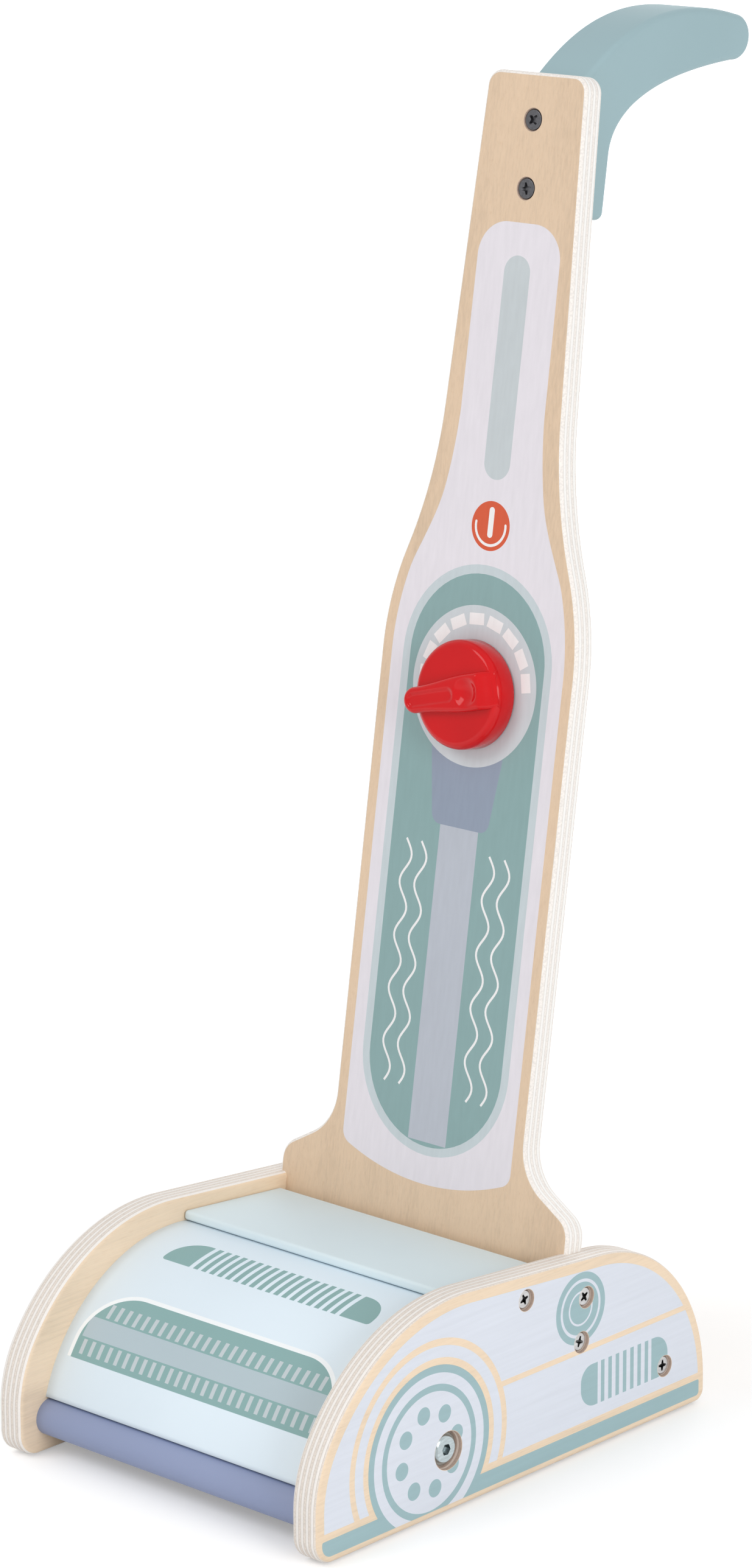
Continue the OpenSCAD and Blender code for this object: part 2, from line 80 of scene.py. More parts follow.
# Bent cover, roller, lid and axle, and how far they reach into the panels or stay clear of them
COVER_Y, COVER_Z, COVER_R, COVER_T = 102.5, 0.7, 90.0, 3.0
COVER_LOW, COVER_PAST = 27.6, 12.5
ROLLER = (19.2, 17.2, 9.0)
LID_FRONT, LID_L, LID_T, LIP_T, LIP_L, LID_SINK, PIVOT_BACK = 110.2, 67.2, 10.0, 4.7, 7.2, 7.0, 32.7
AXLE = (88.7, 30.2)
COVER_SEAT, ROLLER_SEAT, LID_CLEAR = 3.8, 4.8, 0.5
# Upright, along the board
UP_Y, LEAN, UP_T, UP_L = 167.7, math.radians(8.94), 12.0, 642.0
WAIST, FOOT_X, FOOT_LOW, DIAL_V = 61.0, 92.4, 44.0, 349.1
# Knob and its pointer
KNOB_D, KNOB_H, KNOB_RIM, GAP = 51.0, 11.5, 3.5, 0.5
FIN_H, FIN_REACH, FIN_W, FIN_TIP, FIN_REST = 16.0, 28.4, 17.4, 12.2, math.radians(15)
# Grip, along the board and behind it
GRIP_W, GRIP_T, GRIP_LOW, GRIP_BEND = 32.0, 28.0, 576.2, 607.4
GRIP_REACH, GRIP_TOP, GRIP_TIP, GRIP_ARCH = 124.7, 680.0, 11.0, 6.5
# Sunk holes: broken edge at the mouth, and radius and depth for screws, axle bolts and grip screws
CUP_LIP = 0.35
SCREW_CUP, BOLT_CUP, GRIP_CUP = (5.0, 4.2), (9.0, 5.5), (5.2, 2.5)
# Print: depth below the surface, thickness, and distances at which points count as one
INK_SUNK, INK_T, INK_SNAP, INK_SPECK = 0.05, 0.08, 0.02, 0.005
# Material slots of a board
FACE, PLIES, BORE = range(3)


def tint(r, g, b):
    """Linear colour from a colour on a scale of 0 to 255."""
    return tuple(c / 3294.6 if c <= 10 else ((c / 255 + 0.055) / 1.055) ** 2.4 for c in (r, g, b))


def colour(name, text, r, g, b):
    """Colour setting, from a colour on a scale of 0 to 255."""
    return FloatVectorProperty(name=name, description=text, subtype="COLOR", min=0, max=1,
                               default=tint(r, g, b))


def length(name, text, mm):
    """Length setting, from millimetres."""
    return FloatProperty(name=name, description=text, unit="LENGTH", min=0, precision=4, default=mm * MM)


def angle(name, text, degrees):
    """Angle setting, from degrees."""
    return FloatProperty(name=name, description=text, subtype="ANGLE", default=math.radians(degrees))


def power(name, text, watts):
    """Setting for the power of a lamp, in watts."""
    return FloatProperty(name=name, description=text, unit="POWER", default=watts)


def factor(name, text, least, value):
    """Setting for a plain number."""
    return FloatProperty(name=name, description=text, min=least, default=value)


def count(name, text, least, value):
    """Setting for a whole number."""
    return IntProperty(name=name, description=text, min=least, default=value)


class ToyFinish(bpy.types.PropertyGroup):
    """Colours of the wood, paint and prints"""

    veneer: colour("Veneer", "Birch face of the upright", 223, 197, 169)
    panel_veneer: colour("Panel veneer", "Birch face of the side panels", 239, 217, 190)
    ply_light: colour("Light plies", "Pale layers on the boards' edges", 246, 241, 236)
    board_ply_light: colour("Upright's light plies", "Pale layers on the upright's edge", 252, 250, 247)
    board_ply_dark: colour("Upright's dark plies", "Darker layers on the upright's edge", 243, 237, 231)
    ply_dark: colour("Dark plies", "Darker layers on the boards' edges", 230, 220, 210)
    side_pale: colour("Side print", "Pale print on the side panels", 221, 226, 236)
    side_teal: colour("Side print, teal", "Darker print on the side panels", 158, 187, 192)
    lilac: colour("Upright print", "Pale print on the upright", 228, 223, 229)
    teal: colour("Upright print, teal", "Long window on the upright", 138, 168, 168)
    border: colour("Border print", "Border round the long window", 198, 208, 212)
    disc: colour("Dial print", "Disc below the knob", 203, 210, 214)
    slot: colour("Slot print", "Long slot below the grip", 196, 203, 206)
    rod: colour("Rod print", "Rod in the long window", 184, 189, 199)
    nozzle: colour("Nozzle print", "Collar below the dial", 144, 155, 173)
    orange: colour("Switch print", "Round switch", 211, 89, 56)
    white: colour("White print", "Marks and thin lines", 240, 238, 238)
    # The hole colours are darker than the edge plies: partly the bored end grain, partly painted shade inside
    # the holes
    bore_light: colour("Hole, pale layer", "Pale layers in the walls of the sunk holes", 214, 196, 183)
    bore_dark: colour("Hole, dark layer", "Darker layers in the walls of the sunk holes", 178, 156, 142)
    cover: colour("Front cover", "Paint on the bent cover", 229, 242, 251)
    cover_rim: colour("Window rim", "White rim of the cover's printed window", 247, 251, 253)
    cover_tube: colour("Window tube", "Tube in the cover's printed window", 184, 200, 207)
    cover_teal: colour("Cover print", "Vent and window on the cover", 143, 178, 177)
    lid: colour("Lid", "Paint on the lid", 222, 236, 241)
    roller: colour("Roller", "Paint on the front roller", 150, 161, 193)
    grip: colour("Grip", "Paint on the grip", 160, 186, 192)
    knob: colour("Knob", "Gloss plastic of the dial", 206, 6, 14)
    beech: colour("Beech", "Wheels and spacers", 212, 178, 138)
    zinc: colour("Zinc", "Plating of the side screws and the axle", 200, 200, 200)
    bolt: colour("Bolt", "Plating of the axle bolts", 200, 212, 215)
    black: colour("Black steel", "Finish of the grip screws", 96, 96, 99)
    rubber: colour("Rubber", "Tyres of the wheels", 58, 58, 60)


class ToyShape(bpy.types.PropertyGroup):
    """Roundings and print sizes"""

    panel_edge: length("Panel edge", "Rounding of the side panels' edges", 2.5)
    board_edge: length("Upright edge", "Rounding of the upright's edges", 2.0)
    lid_edge: length("Lid edge", "Rounding of the lid's edges", 1.6)
    grip_edge: length("Grip edge", "Rounding of the grip's edges", 3.0)
    side_border: length("Side border", "Bare wood round the side prints", 5.6)
    board_border: length("Upright border", "Bare wood round the upright's print", 7.2)
    neck_border: length("Neck border", "Bare wood round the print from the shoulders up", 11.3)
    knob_spread: factor("Knob spread", "Width of the knob's moulding on its core", 1, 1.025)
    knob_rise: factor("Knob rise", "Height of the knob's moulding on its core", 1, 1.14)
    panel_plies: count("Panel plies", "Layers in a side panel", 3, 10)
    board_plies: count("Upright plies", "Layers in the upright", 3, 7)
    vent_bars: count("Vent bars", "Bars in the cover's vent", 1, 18)
    scale_blocks: count("Scale blocks", "Blocks round the dial", 2, 9)


class ToyStage(bpy.types.PropertyGroup):
    """Camera and light"""

    azimuth: angle("Azimuth", "Turn of the camera", 42.592)
    elevation: angle("Elevation", "Tilt of the camera", 14.536)
    roll: angle("Roll", "Roll of the camera", -0.296)
    place: FloatVectorProperty(name="Place", description="Place of the camera", subtype="TRANSLATION",
                               default=(1.48901, -1.66949, 0.88570))
    lens: FloatProperty(name="Lens", description="Focal length of the camera", unit="CAMERA", default=112.21)
    key: power("Key light", "Power of the large front light", 13)
    fill: power("Fill light", "Power of the side light", 17)
    sky: factor("Sky", "Strength of the even light from all round", 0, 0.68)


# Flat outlines


def heading(a):
    """Direction at an angle in degrees."""
    return Vector((math.cos(math.radians(a)), math.sin(math.radians(a))))


def arc(x, y, r, a0, a1, step=3.0):
    """Points of a circular arc, with angles in degrees."""
    n = max(2, math.ceil(abs(a1 - a0) / step))
    turn = [math.radians(a0 + (a1 - a0) * i / n) for i in range(n + 1)]
    return [Vector((x + r * math.cos(a), y + r * math.sin(a))) for a in turn]


def circle(x, y, r, n=72):
    """Points of a full circle."""
    return arc(x, y, r, 0, 360 - 360 / n, 360 / n)


def low_disc(x, y, r, floor):
    """Disc that is cut off level at a lower line."""
    if y - r >= floor:
        return circle(x, y, r)
    a = math.degrees(math.asin((floor - y) / r))
    return arc(x, y, r, a, 180 - a)


def soft_box(x0, y0, x1, y1, bl=0, br=0, tr=0, tl=0):
    """Rectangle with its own radius at each corner, from the lower left one."""
    loop = []
    for x, y, r, a in ((x0 + bl, y0 + bl, bl, 180), (x1 - br, y0 + br, br, 270),
                       (x1 - tr, y1 - tr, tr, 0), (x0 + tl, y1 - tl, tl, 90)):
        loop += arc(x, y, r, a, a + 90, 6) if r > 0 else [Vector((x, y))]
    return tidy(loop)


def pill(x, y0, y1, r):
    """Upright box, as wide as x to both sides of the middle, with the same radius at all corners."""
    return soft_box(-x, y0, x, y1, r, r, r, r)


def tidy(loop):
    """Loop without doubled points, running counter-clockwise."""
    kept = [p for i, p in enumerate(loop) if (p - loop[i - 1]).length > 1e-3]
    area = sum(kept[i - 1].cross(p) for i, p in enumerate(kept))
    return kept if area > 0 else kept[::-1]


def inset(loop, d):
    """Loop moved inwards by a distance."""
    moved = []
    for i, p in enumerate(loop):
        a, b = (p - loop[i - 1]).normalized(), (loop[(i + 1) % len(loop)] - p).normalized()
        n, m = Vector((-a.y, a.x)), Vector((-b.y, b.x))
        s = (n + m).normalized()
        moved.append(p + s * (d / max(0.4, s.dot(n))))
    return moved


def stroke(line, width):
    """Outline of a line of some width."""
    left, right = [], []
    for i, p in enumerate(line):
        d = (line[min(i + 1, len(line) - 1)] - line[max(i - 1, 0)]).normalized() * (width / 2)
        left.append(p + Vector((-d.y, d.x)))
        right.append(p - Vector((-d.y, d.x)))
    return tidy(left + right[::-1])


def cubic(a, b, c, d, n=30):
    """Points of a cubic curve, from its ends and handles."""
    a, b, c, d = map(Vector, (a, b, c, d))
    line = []
    for t in (i / n for i in range(n + 1)):
        u = 1 - t
        line.append(u ** 3 * a + 3 * u ** 2 * t * b + 3 * u * t * t * c + t ** 3 * d)
    return line


def mirrored(half):
    """Whole loop from its right half."""
    return half + [Vector((-p.x, p.y)) for p in reversed(half)]


def ease(x, low, high):
    """Smooth step from 0 to 1 between two values."""
    t = min(1.0, max(0.0, (x - low) / (high - low)))
    return t * t * (3 - 2 * t)


TAIL_Y = DEPTH - TAIL_R
TAIL_BACK, TAIL_UP = TAIL_Y - DOME_Y, TAIL_Z - DOME_Z
TOP_A = math.asin((DOME_R - TAIL_R) / math.hypot(TAIL_BACK, TAIL_UP)) - math.atan2(TAIL_UP, TAIL_BACK)
TOP_Y, TOP_Z = DOME_Y + DOME_R * math.sin(TOP_A), DOME_Z + DOME_R * math.cos(TOP_A)
NOSE_Z = DOME_Z + math.sqrt((DOME_R - NOSE_R) ** 2 - (DOME_Y - NOSE_R) ** 2)
PIVOT_Y = LID_FRONT + PIVOT_BACK
PIVOT_Z = TOP_Z - (PIVOT_Y - TOP_Y) * math.tan(TOP_A) - (LID_SINK + LID_T / 2) / math.cos(TOP_A)


def side_loop():
    """Outline of a side panel."""
    crest = 90 - math.degrees(TOP_A)
    nose = math.degrees(math.atan2(NOSE_Z - DOME_Z, NOSE_R - DOME_Y))
    return tidy(arc(TOE_R, TOE_R, TOE_R, 180, 270) + arc(DEPTH - HEEL_R, HEEL_R, HEEL_R, 270, 360, 9)
                + arc(TAIL_Y, TAIL_Z, TAIL_R, 0, crest, 2) + arc(DOME_Y, DOME_Z, DOME_R, crest, nose, 2)
                + arc(NOSE_R, NOSE_Z, NOSE_R, nose, 180, 2))


def board_loop():
    """Outline of the upright, from its flared foot to its narrow top."""
    flare_v, flare_r, flare_a, tip_r, tip_a = 144.0, 26.0, 60, 12.0, 30.0
    shoulder_v, shoulder_r, neck_r, crown_r = 363.0, 140.0, 222.0, 8.0
    turn, slim = 21.0, 2.5
    flare = Vector((WAIST + flare_r, flare_v))
    end = flare - flare_r * heading(flare_a)
    fall, taper = math.radians(tip_a), math.radians(slim)
    tip_x = FOOT_X - tip_r
    tip_v = end.y - (tip_x + tip_r * math.sin(fall) - end.x) * math.tan(fall) - tip_r * math.cos(fall)
    shoulder = Vector((WAIST - shoulder_r, shoulder_v))
    neck = shoulder + (shoulder_r + neck_r) * heading(turn)
    last = neck - neck_r * heading(slim)
    crown_v = UP_L - crown_r
    crown_x = last.x - (crown_v - last.y) * math.tan(taper) - crown_r / math.cos(taper)
    return tidy(mirrored([Vector((FOOT_X, FOOT_LOW))] + arc(tip_x, tip_v, tip_r, 0, 90 - tip_a, 5)
                         + arc(*flare, flare_r, 180 + flare_a, 180, 4)
                         + arc(*shoulder, shoulder_r, 0, turn, 1.5)
                         + arc(*neck, neck_r, 180 + turn, 180 + slim, 1)
                         + arc(crown_x, crown_v, crown_r, slim, 90, 6)))


def grip_loop():
    """Side view of the grip, behind the board and along it, between two curves with set handles."""
    start, foot_r = UP_L - 6, 4
    tip_s, tip_v = GRIP_REACH - GRIP_TIP, GRIP_TOP - GRIP_TIP
    over = cubic((0, start), (GRIP_T * 0.79, GRIP_TOP - 0.48 * (GRIP_TOP - UP_L)),
                 (GRIP_REACH * 0.44, GRIP_TOP + GRIP_ARCH), (tip_s, GRIP_TOP))
    under = cubic((tip_s, tip_v - GRIP_TIP), (GRIP_REACH * 0.48, tip_v - 2 * GRIP_TIP),
                  (GRIP_T, GRIP_BEND + 0.8 * GRIP_T), (GRIP_T, GRIP_BEND))
    foot = arc(GRIP_T - foot_r, GRIP_LOW + foot_r, foot_r, 0, -90, 15)
    return tidy([Vector((0, GRIP_LOW))] + over + arc(tip_s, tip_v, GRIP_TIP, 78, -84, 6) + under + foot)


# Places: flat plan to the toy, from millimetres to metres


def on_right(u, v, h):
    """Outer face of the right panel: along it, up it and out from it."""
    return Vector((SIDE + h * MM, FRONT + u * MM, BASE + v * MM))


def on_left(u, v, h):
    """Outer face of the left panel: along it, up it and out from it."""
    return Vector((-SIDE - h * MM, FRONT + u * MM, BASE + v * MM))


def on_board(x, v, h):
    """Front of the upright: across it, along it and out from it."""
    y = UP_Y + v * math.sin(LEAN) - h * math.cos(LEAN)
    return Vector((x * MM, FRONT + y * MM, BASE + (v * math.cos(LEAN) + h * math.sin(LEAN)) * MM))


def on_dial(u, v, h):
    """Dial on the upright, turned to where its pointer rests."""
    a = math.pi + FIN_REST
    return on_board(u * math.cos(a) - v * math.sin(a), DIAL_V + u * math.sin(a) + v * math.cos(a), h)


def on_cover(x, s, h):
    """Outside of the bent cover: across it, along its arc and out from it."""
    a, r = s / COVER_R, COVER_R + h
    return across(COVER_Y - r * math.cos(a), COVER_Z + r * math.sin(a), x)


def across(u, v, h):
    """Side view of the toy, with the height to its right."""
    return Vector((h * MM, FRONT + u * MM, BASE + v * MM))


def behind_board(s, v, h):
    """Side view of the upright's back: away from it and along it."""
    p = on_board(0, v, -UP_T - s)
    return Vector((h * MM, p.y, p.z))


def on_lid(u, v, h):
    """Side view of the lid, along its slope from its pivot."""
    y, z = u * math.cos(TOP_A) + v * math.sin(TOP_A), v * math.cos(TOP_A) - u * math.sin(TOP_A)
    return across(PIVOT_Y + y, PIVOT_Z + z, h)


def span(reach):
    """Width of a piece between the side panels that reaches into both by a distance."""
    return 2 * (SIDE / MM - PANEL_T + reach)


def centred(place, width):
    """Place for a solid that hangs from height 0, so that its width is centred on the toy."""
    return lambda u, v, h: place(u, v, h + width / 2)


# Solids


def ring_of(bm, loop, h):
    """Points of a loop at a height."""
    return [bm.verts.new((p.x, p.y, h)) for p in loop]


def skin(bm, upper, lower, slot, smooth=True):
    """Wall between two rings."""
    for i in range(len(upper)):
        f = bm.faces.new((lower[i - 1], lower[i], upper[i], upper[i - 1]))
        f.material_index, f.smooth = slot, smooth


def cap(bm, rings, slot, up=True):
    """Flat face over a ring, with other rings as holes."""
    verts = [v for r in rings for v in r]
    for tri in tessellate_polygon([[Vector((v.co.x, v.co.y, 0)) for v in r] for r in rings]):
        a, b, c = (verts[i] for i in tri)
        if ((b.co - a.co).cross(c.co - a.co).z > 0) != up:
            b, c = c, b
        f = bm.faces.new((a, b, c))
        f.material_index = slot


def slab(loop, thick, edge, steps=6, cups=(), veneer=0.9):
    """Board with rounded edges, its front at height 0 and blind round holes sunk into it."""
    bm = bmesh.new()
    turn = [math.pi / 2 * k / steps for k in range(steps + 1)]
    levels = [(edge * (1 - math.sin(a)), -edge * (1 - math.cos(a))) for a in turn]
    levels += [(d, -thick - h) for d, h in reversed(levels)]
    rings = [ring_of(bm, inset(loop, d), h) for d, h in levels]
    for i in range(len(rings) - 1):
        depth = -(levels[i][1] + levels[i + 1][1]) / 2
        skin(bm, rings[i], rings[i + 1], PLIES if veneer < depth < thick - veneer else FACE)
    holes = []
    for x, y, r, depth in cups:
        mouth, lip, foot = (ring_of(bm, circle(x, y, r + d, 48)[::-1], h)
                            for d, h in ((CUP_LIP, 0), (0, -CUP_LIP), (0, -depth)))
        skin(bm, mouth, lip, BORE)
        skin(bm, lip, foot, BORE)
        cap(bm, [foot], BORE)
        holes.append(mouth)
    cap(bm, [rings[0]] + holes, FACE)
    cap(bm, [rings[-1]], FACE, up=False)
    return bm


def turned(bm, sides, n):
    """Adds a round solid from its radii and heights, from the top down."""
    rings = [ring_of(bm, circle(0, 0, r, n), h) for r, h in sides]
    for upper, lower in zip(rings, rings[1:]):
        skin(bm, upper, lower, FACE)
    cap(bm, [rings[0]], FACE)
    cap(bm, [rings[-1]], FACE, up=False)


def piece(name, bm, place, materials, body, slot="", nodes=(), flip=False):
    """Lays a plan's solid on the toy as an object of its own."""
    for v in bm.verts:
        v.co = place(*v.co)
    if flip:
        bmesh.ops.reverse_faces(bm, faces=bm.faces)
    mesh = bpy.data.meshes.new(name)
    bm.to_mesh(mesh)
    bm.free()
    for m in materials:
        mesh.materials.append(m)
    obj = bpy.data.objects.new(name, mesh)
    bpy.context.scene.collection.objects.link(obj)
    return settle(obj, body, slot, nodes)


def settle(obj, body, slot="", nodes=()):
    """Puts a finished piece on its body and hides the solids it stands for; the slot is not used."""
    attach(obj, body)
    if nodes:
        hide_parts(*nodes)
    return obj


def plain_mesh(obj):
    """Turns an object with modifiers into a plain mesh."""
    mesh = bpy.data.meshes.new_from_object(obj.evaluated_get(bpy.context.evaluated_depsgraph_get()))
    obj.modifiers.clear()
    obj.data = mesh
    return mesh


def dress(node, material, edge):
    """Finishes a solid that is shown as it is."""
    obj = frame["nodes"][node]
    obj.data.materials.clear()
    obj.data.materials.append(material)
    obj.data.polygons.foreach_set("use_smooth", [True] * len(obj.data.polygons))
    obj.modifiers.new("Join", "WELD").merge_threshold = 0.00001
    bevel = obj.modifiers.new("Edges", "BEVEL")
    bevel.width, bevel.segments = edge * MM, 2
    bevel.limit_method, bevel.angle_limit = "ANGLE", math.radians(40)
    obj.modifiers.new("Shade", "WEIGHTED_NORMAL").keep_sharp = False


# Repeated shapes, made with geometry nodes


class Tree:
    """Geometry node tree with named inputs, which ends in Realize Instances and Set Material."""

    def __init__(self, name, inputs):
        self.group = bpy.data.node_groups.new(name, "GeometryNodeTree")
        face = self.group.interface
        face.new_socket("Geometry", in_out="OUTPUT", socket_type="NodeSocketGeometry")
        self.ids = {}
        for n, kind in inputs:
            socket = face.new_socket(n, in_out="INPUT", socket_type="NodeSocket" + kind)
            self.ids[n] = socket.identifier
        self.source = self.group.nodes.new("NodeGroupInput")

    def node(self, kind, values=None, **settings):
        """Node with its settings, and with values, sockets or named inputs for its inputs."""
        n = self.group.nodes.new(kind)
        for key, value in settings.items():
            setattr(n, key, value)
        for key, value in (values or {}).items():
            self.feed(n.inputs[key], value)
        return n

    def feed(self, socket, value):
        """Sets an input to a value, or links it to a socket or a named input of the tree."""
        if isinstance(value, str) and socket.type != "STRING":
            self.group.links.new(self.source.outputs[value], socket)
        elif isinstance(value, bpy.types.NodeSocket):
            self.group.links.new(value, socket)
        else:
            socket.default_value = value

    def math(self, operation, *values):
        """Socket with the result of a calculation."""
        n = self.node("ShaderNodeMath", operation=operation)
        for socket, value in zip(n.inputs, values):
            self.feed(socket, value)
        return n.outputs[0]

    def vector(self, x, y, z):
        """Socket with a vector of three values."""
        return self.node("ShaderNodeCombineXYZ", {"X": x, "Y": y, "Z": z}).outputs[0]

    def close(self, instances):
        """Ends the tree in plain geometry with its material."""
        real = self.node("GeometryNodeRealizeInstances", {"Geometry": instances})
        done = self.node("GeometryNodeSetMaterial", {"Geometry": real.outputs[0], "Material": "Material"})
        out = self.group.nodes.new("NodeGroupOutput")
        self.group.links.new(done.outputs[0], out.inputs[0])
        return self

    def run(self, mesh, **values):
        """Mesh that the tree makes from these inputs."""
        obj = bpy.data.objects.new("row", mesh)
        bpy.context.scene.collection.objects.link(obj)
        mod = obj.modifiers.new("Row", "NODES")
        mod.node_group = self.group
        for key, value in values.items():
            mod[self.ids[key]] = value
        made = plain_mesh(obj)
        bpy.data.objects.remove(obj)
        return made


def row_tree():
    """Bars side by side in a straight row."""
    t = Tree("Bar row", [("Count", "Int"), ("Pitch", "Float"), ("Width", "Float"), ("Height", "Float"),
                         ("Material", "Material")])
    start = t.math("MULTIPLY", t.math("SUBTRACT", "Count", 1.0), t.math("MULTIPLY", "Pitch", -0.5))
    line = t.node("GeometryNodeMeshLine", {"Count": "Count", "Start Location": t.vector(start, 0.0, 0.0),
                                           "Offset": t.vector("Pitch", 0.0, 0.0)})
    bar = t.node("GeometryNodeMeshGrid", {"Size X": "Width", "Size Y": "Height", "Vertices X": 2,
                                          "Vertices Y": 2})
    spots = t.node("GeometryNodeInstanceOnPoints", {"Points": line.outputs[0], "Instance": bar.outputs[0]})
    return t.close(spots.outputs[0])


def ring_tree(dots):
    """Blocks or round dots along an arc, each turned to its centre."""
    t = Tree("Dot ring" if dots else "Block ring",
             [("Count", "Int"), ("Radius", "Float"), ("Start", "Float"), ("Sweep", "Float"),
              ("Width", "Float"), ("Height", "Float"), ("Material", "Material")])
    line = t.node("GeometryNodeCurveArc", {"Resolution": "Count", "Radius": "Radius", "Start Angle": "Start",
                                           "Sweep Angle": "Sweep"})
    points = t.node("GeometryNodeCurveToPoints", {"Curve": line.outputs[0]}, mode="EVALUATED")
    spot = t.node("ShaderNodeSeparateXYZ", {"Vector": t.node("GeometryNodeInputPosition").outputs[0]})
    turn = t.vector(0.0, 0.0, t.math("ARCTAN2", spot.outputs[1], spot.outputs[0]))
    if dots:
        shape = t.node("GeometryNodeMeshCircle", {"Vertices": 32, "Radius": t.math("MULTIPLY", "Width", 0.5)},
                       fill_type="NGON")
    else:
        shape = t.node("GeometryNodeMeshGrid", {"Size X": "Height", "Size Y": "Width", "Vertices X": 2,
                                                "Vertices Y": 2})
    spots = t.node("GeometryNodeInstanceOnPoints", {"Points": points.outputs[0], "Instance": shape.outputs[0],
                                                    "Rotation": turn})
    return t.close(spots.outputs[0])


def screw_tree():
    """Screw heads on points, each along its point's own direction and turned about it."""
    t = Tree("Screw heads", [("Points", "Geometry"), ("Head", "Object"), ("Material", "Material")])
    head = t.node("GeometryNodeObjectInfo", {"Object": "Head"})
    aim = t.node("GeometryNodeInputNamedAttribute", {"Name": "aim"}, data_type="FLOAT_VECTOR")
    spin = t.node("GeometryNodeInputNamedAttribute", {"Name": "spin"}, data_type="FLOAT")
    along = t.node("FunctionNodeAlignRotationToVector", {"Vector": aim.outputs[0]}, axis="Z")
    own = t.node("FunctionNodeAxisAngleToRotation", {"Axis": (0, 0, 1), "Angle": spin.outputs[0]})
    turn = t.node("FunctionNodeRotateRotation", {"Rotation": along.outputs[0], "Rotate By": own.outputs[0]},
                  rotation_space="LOCAL")
    spots = t.node("GeometryNodeInstanceOnPoints", {"Points": "Points", "Instance": head.outputs["Geometry"],
                                                    "Rotation": turn.outputs[0]})
    return t.close(spots.outputs[0])


class Print:
    """Ink on a surface: flat shapes painted over one another, then joined in one thin sheet."""

    def __init__(self):
        self.shapes = []
        self.inks = []

    def fill(self, finish, loop):
        """Paints a shape over the ones before it; without a finish, it bares the wood."""
        if finish and finish not in self.inks:
            self.inks.append(finish)
        self.shapes.append((finish, tidy(loop)))

    def repeat(self, tree, finish, x, y, **values):
        """Paints the faces that a tree makes, centred on a point of the plan."""
        mesh = tree.run(bpy.data.meshes.new("row"), Material=finish, **values)
        for face in mesh.polygons:
            self.fill(finish, [mesh.vertices[i].co.xy + Vector((x, y)) for i in face.vertices])

    def lay(self, name, place, body, flip=False, cut=0.0):
        """Lays the sheet on a surface, cut into strips where it is bent."""
        points, faces = [], []
        for _, loop in self.shapes:
            faces.append(list(range(len(points), len(points) + len(loop))))
            points += loop
        flat = delaunay_2d_cdt(points, [], faces, 1, 1e-4)
        bm = bmesh.new()
        verts = [bm.verts.new((x, y, -INK_SUNK)) for x, y in flat[0]]
        for corners, owners in zip(flat[2], flat[5]):
            finish = self.shapes[max(owners)][0]
            if finish:
                bm.faces.new([verts[i] for i in corners]).material_index = self.inks.index(finish)
        bmesh.ops.delete(bm, geom=[v for v in bm.verts if not v.link_faces], context="VERTS")
        if cut:
            low, high = min(v.co.y for v in bm.verts), max(v.co.y for v in bm.verts)
            for i in range(1, math.ceil((high - low) / cut)):
                everything = bm.verts[:] + bm.edges[:] + bm.faces[:]
                bmesh.ops.bisect_plane(bm, geom=everything, plane_co=(0, low + i * cut, 0),
                                       plane_no=(0, 1, 0), dist=INK_SNAP)
        bmesh.ops.dissolve_degenerate(bm, edges=bm.edges, dist=INK_SPECK)
        raised = bmesh.ops.extrude_face_region(bm, geom=bm.faces[:], use_keep_orig=True)["geom"]
        raised = [v for v in raised if isinstance(v, bmesh.types.BMVert)]
        bmesh.ops.translate(bm, vec=(0, 0, INK_T), verts=raised)
        bmesh.ops.recalc_face_normals(bm, faces=bm.faces)
        return piece(name, bm, place, self.inks, body, flip=flip)


# Materials


class Look:
    """Principled material with helpers for its nodes."""

    def __init__(self, name, rough, metal=0.0, shine=0.3):
        self.material = bpy.data.materials.new(name)
        self.material.use_nodes = True
        self.tree = self.material.node_tree
        self.shader = self.tree.nodes["Principled BSDF"]
        self.shader.inputs["Roughness"].default_value = rough
        self.shader.inputs["Metallic"].default_value = metal
        self.shader.inputs["Specular IOR Level"].default_value = 0.5 if metal else shine
        self.place = self.node("TexCoord").outputs["Object"]

    def node(self, kind, values=None, **settings):
        """Node with its settings, and with values or sockets for its inputs."""
        n = self.tree.nodes.new("ShaderNode" + kind)
        for key, value in settings.items():
            setattr(n, key, value)
        for key, value in (values or {}).items():
            if isinstance(value, bpy.types.NodeSocket):
                self.tree.links.new(value, n.inputs[key])
            else:
                n.inputs[key].default_value = value
        return n

    def math(self, operation, *values):
        """Socket with the result of a calculation."""
        return self.node("Math", dict(enumerate(values)), operation=operation).outputs[0]

    def noise(self, scale, stretch=(1, 1, 1), turn=(0, 0, 0), detail=4.0):
        """Noise on the piece's own coordinates, stretched and turned."""
        spot = self.node("Mapping", {"Vector": self.place, "Rotation": turn, "Scale": stretch})
        n = self.node("TexNoise", {"Vector": spot.outputs[0], "Scale": scale, "Detail": detail})
        return n.outputs["Fac"]

    def ramp(self, factor, *stops):
        """Colours between stops, each a place and a colour."""
        n = self.node("ValToRGB", {"Fac": factor})
        while len(n.color_ramp.elements) < len(stops):
            n.color_ramp.elements.new(0.5)
        for e, (at, rgb) in zip(n.color_ramp.elements, stops):
            e.position, e.color = at, (*rgb, 1)
        return n.outputs[0]

    def mix(self, factor, a, b, blend="MIX"):
        """Blend of two colours."""
        n = self.node("Mix", {0: factor, 6: a, 7: b}, data_type="RGBA", blend_type=blend)
        return n.outputs[2]

    def paint(self, rgb):
        """Sets the colour."""
        self.tree.links.new(rgb, self.shader.inputs["Base Color"])
        return self

    def rough(self, factor, low, high):
        """Sets the roughness, between two values."""
        n = self.node("MapRange", {"Value": factor, "To Min": low, "To Max": high})
        self.tree.links.new(n.outputs[0], self.shader.inputs["Roughness"])
        return self

    def bump(self, height, strength, distance):
        """Sets a fine relief."""
        n = self.node("Bump", {"Height": height, "Strength": strength, "Distance": distance})
        self.tree.links.new(n.outputs[0], self.shader.inputs["Normal"])
        return self


ALONG_X, ALONG_Y, ALONG_Z = (0.035, 1, 1), (1, 0.035, 1), (1, 1, 0.035)
MADE = {}


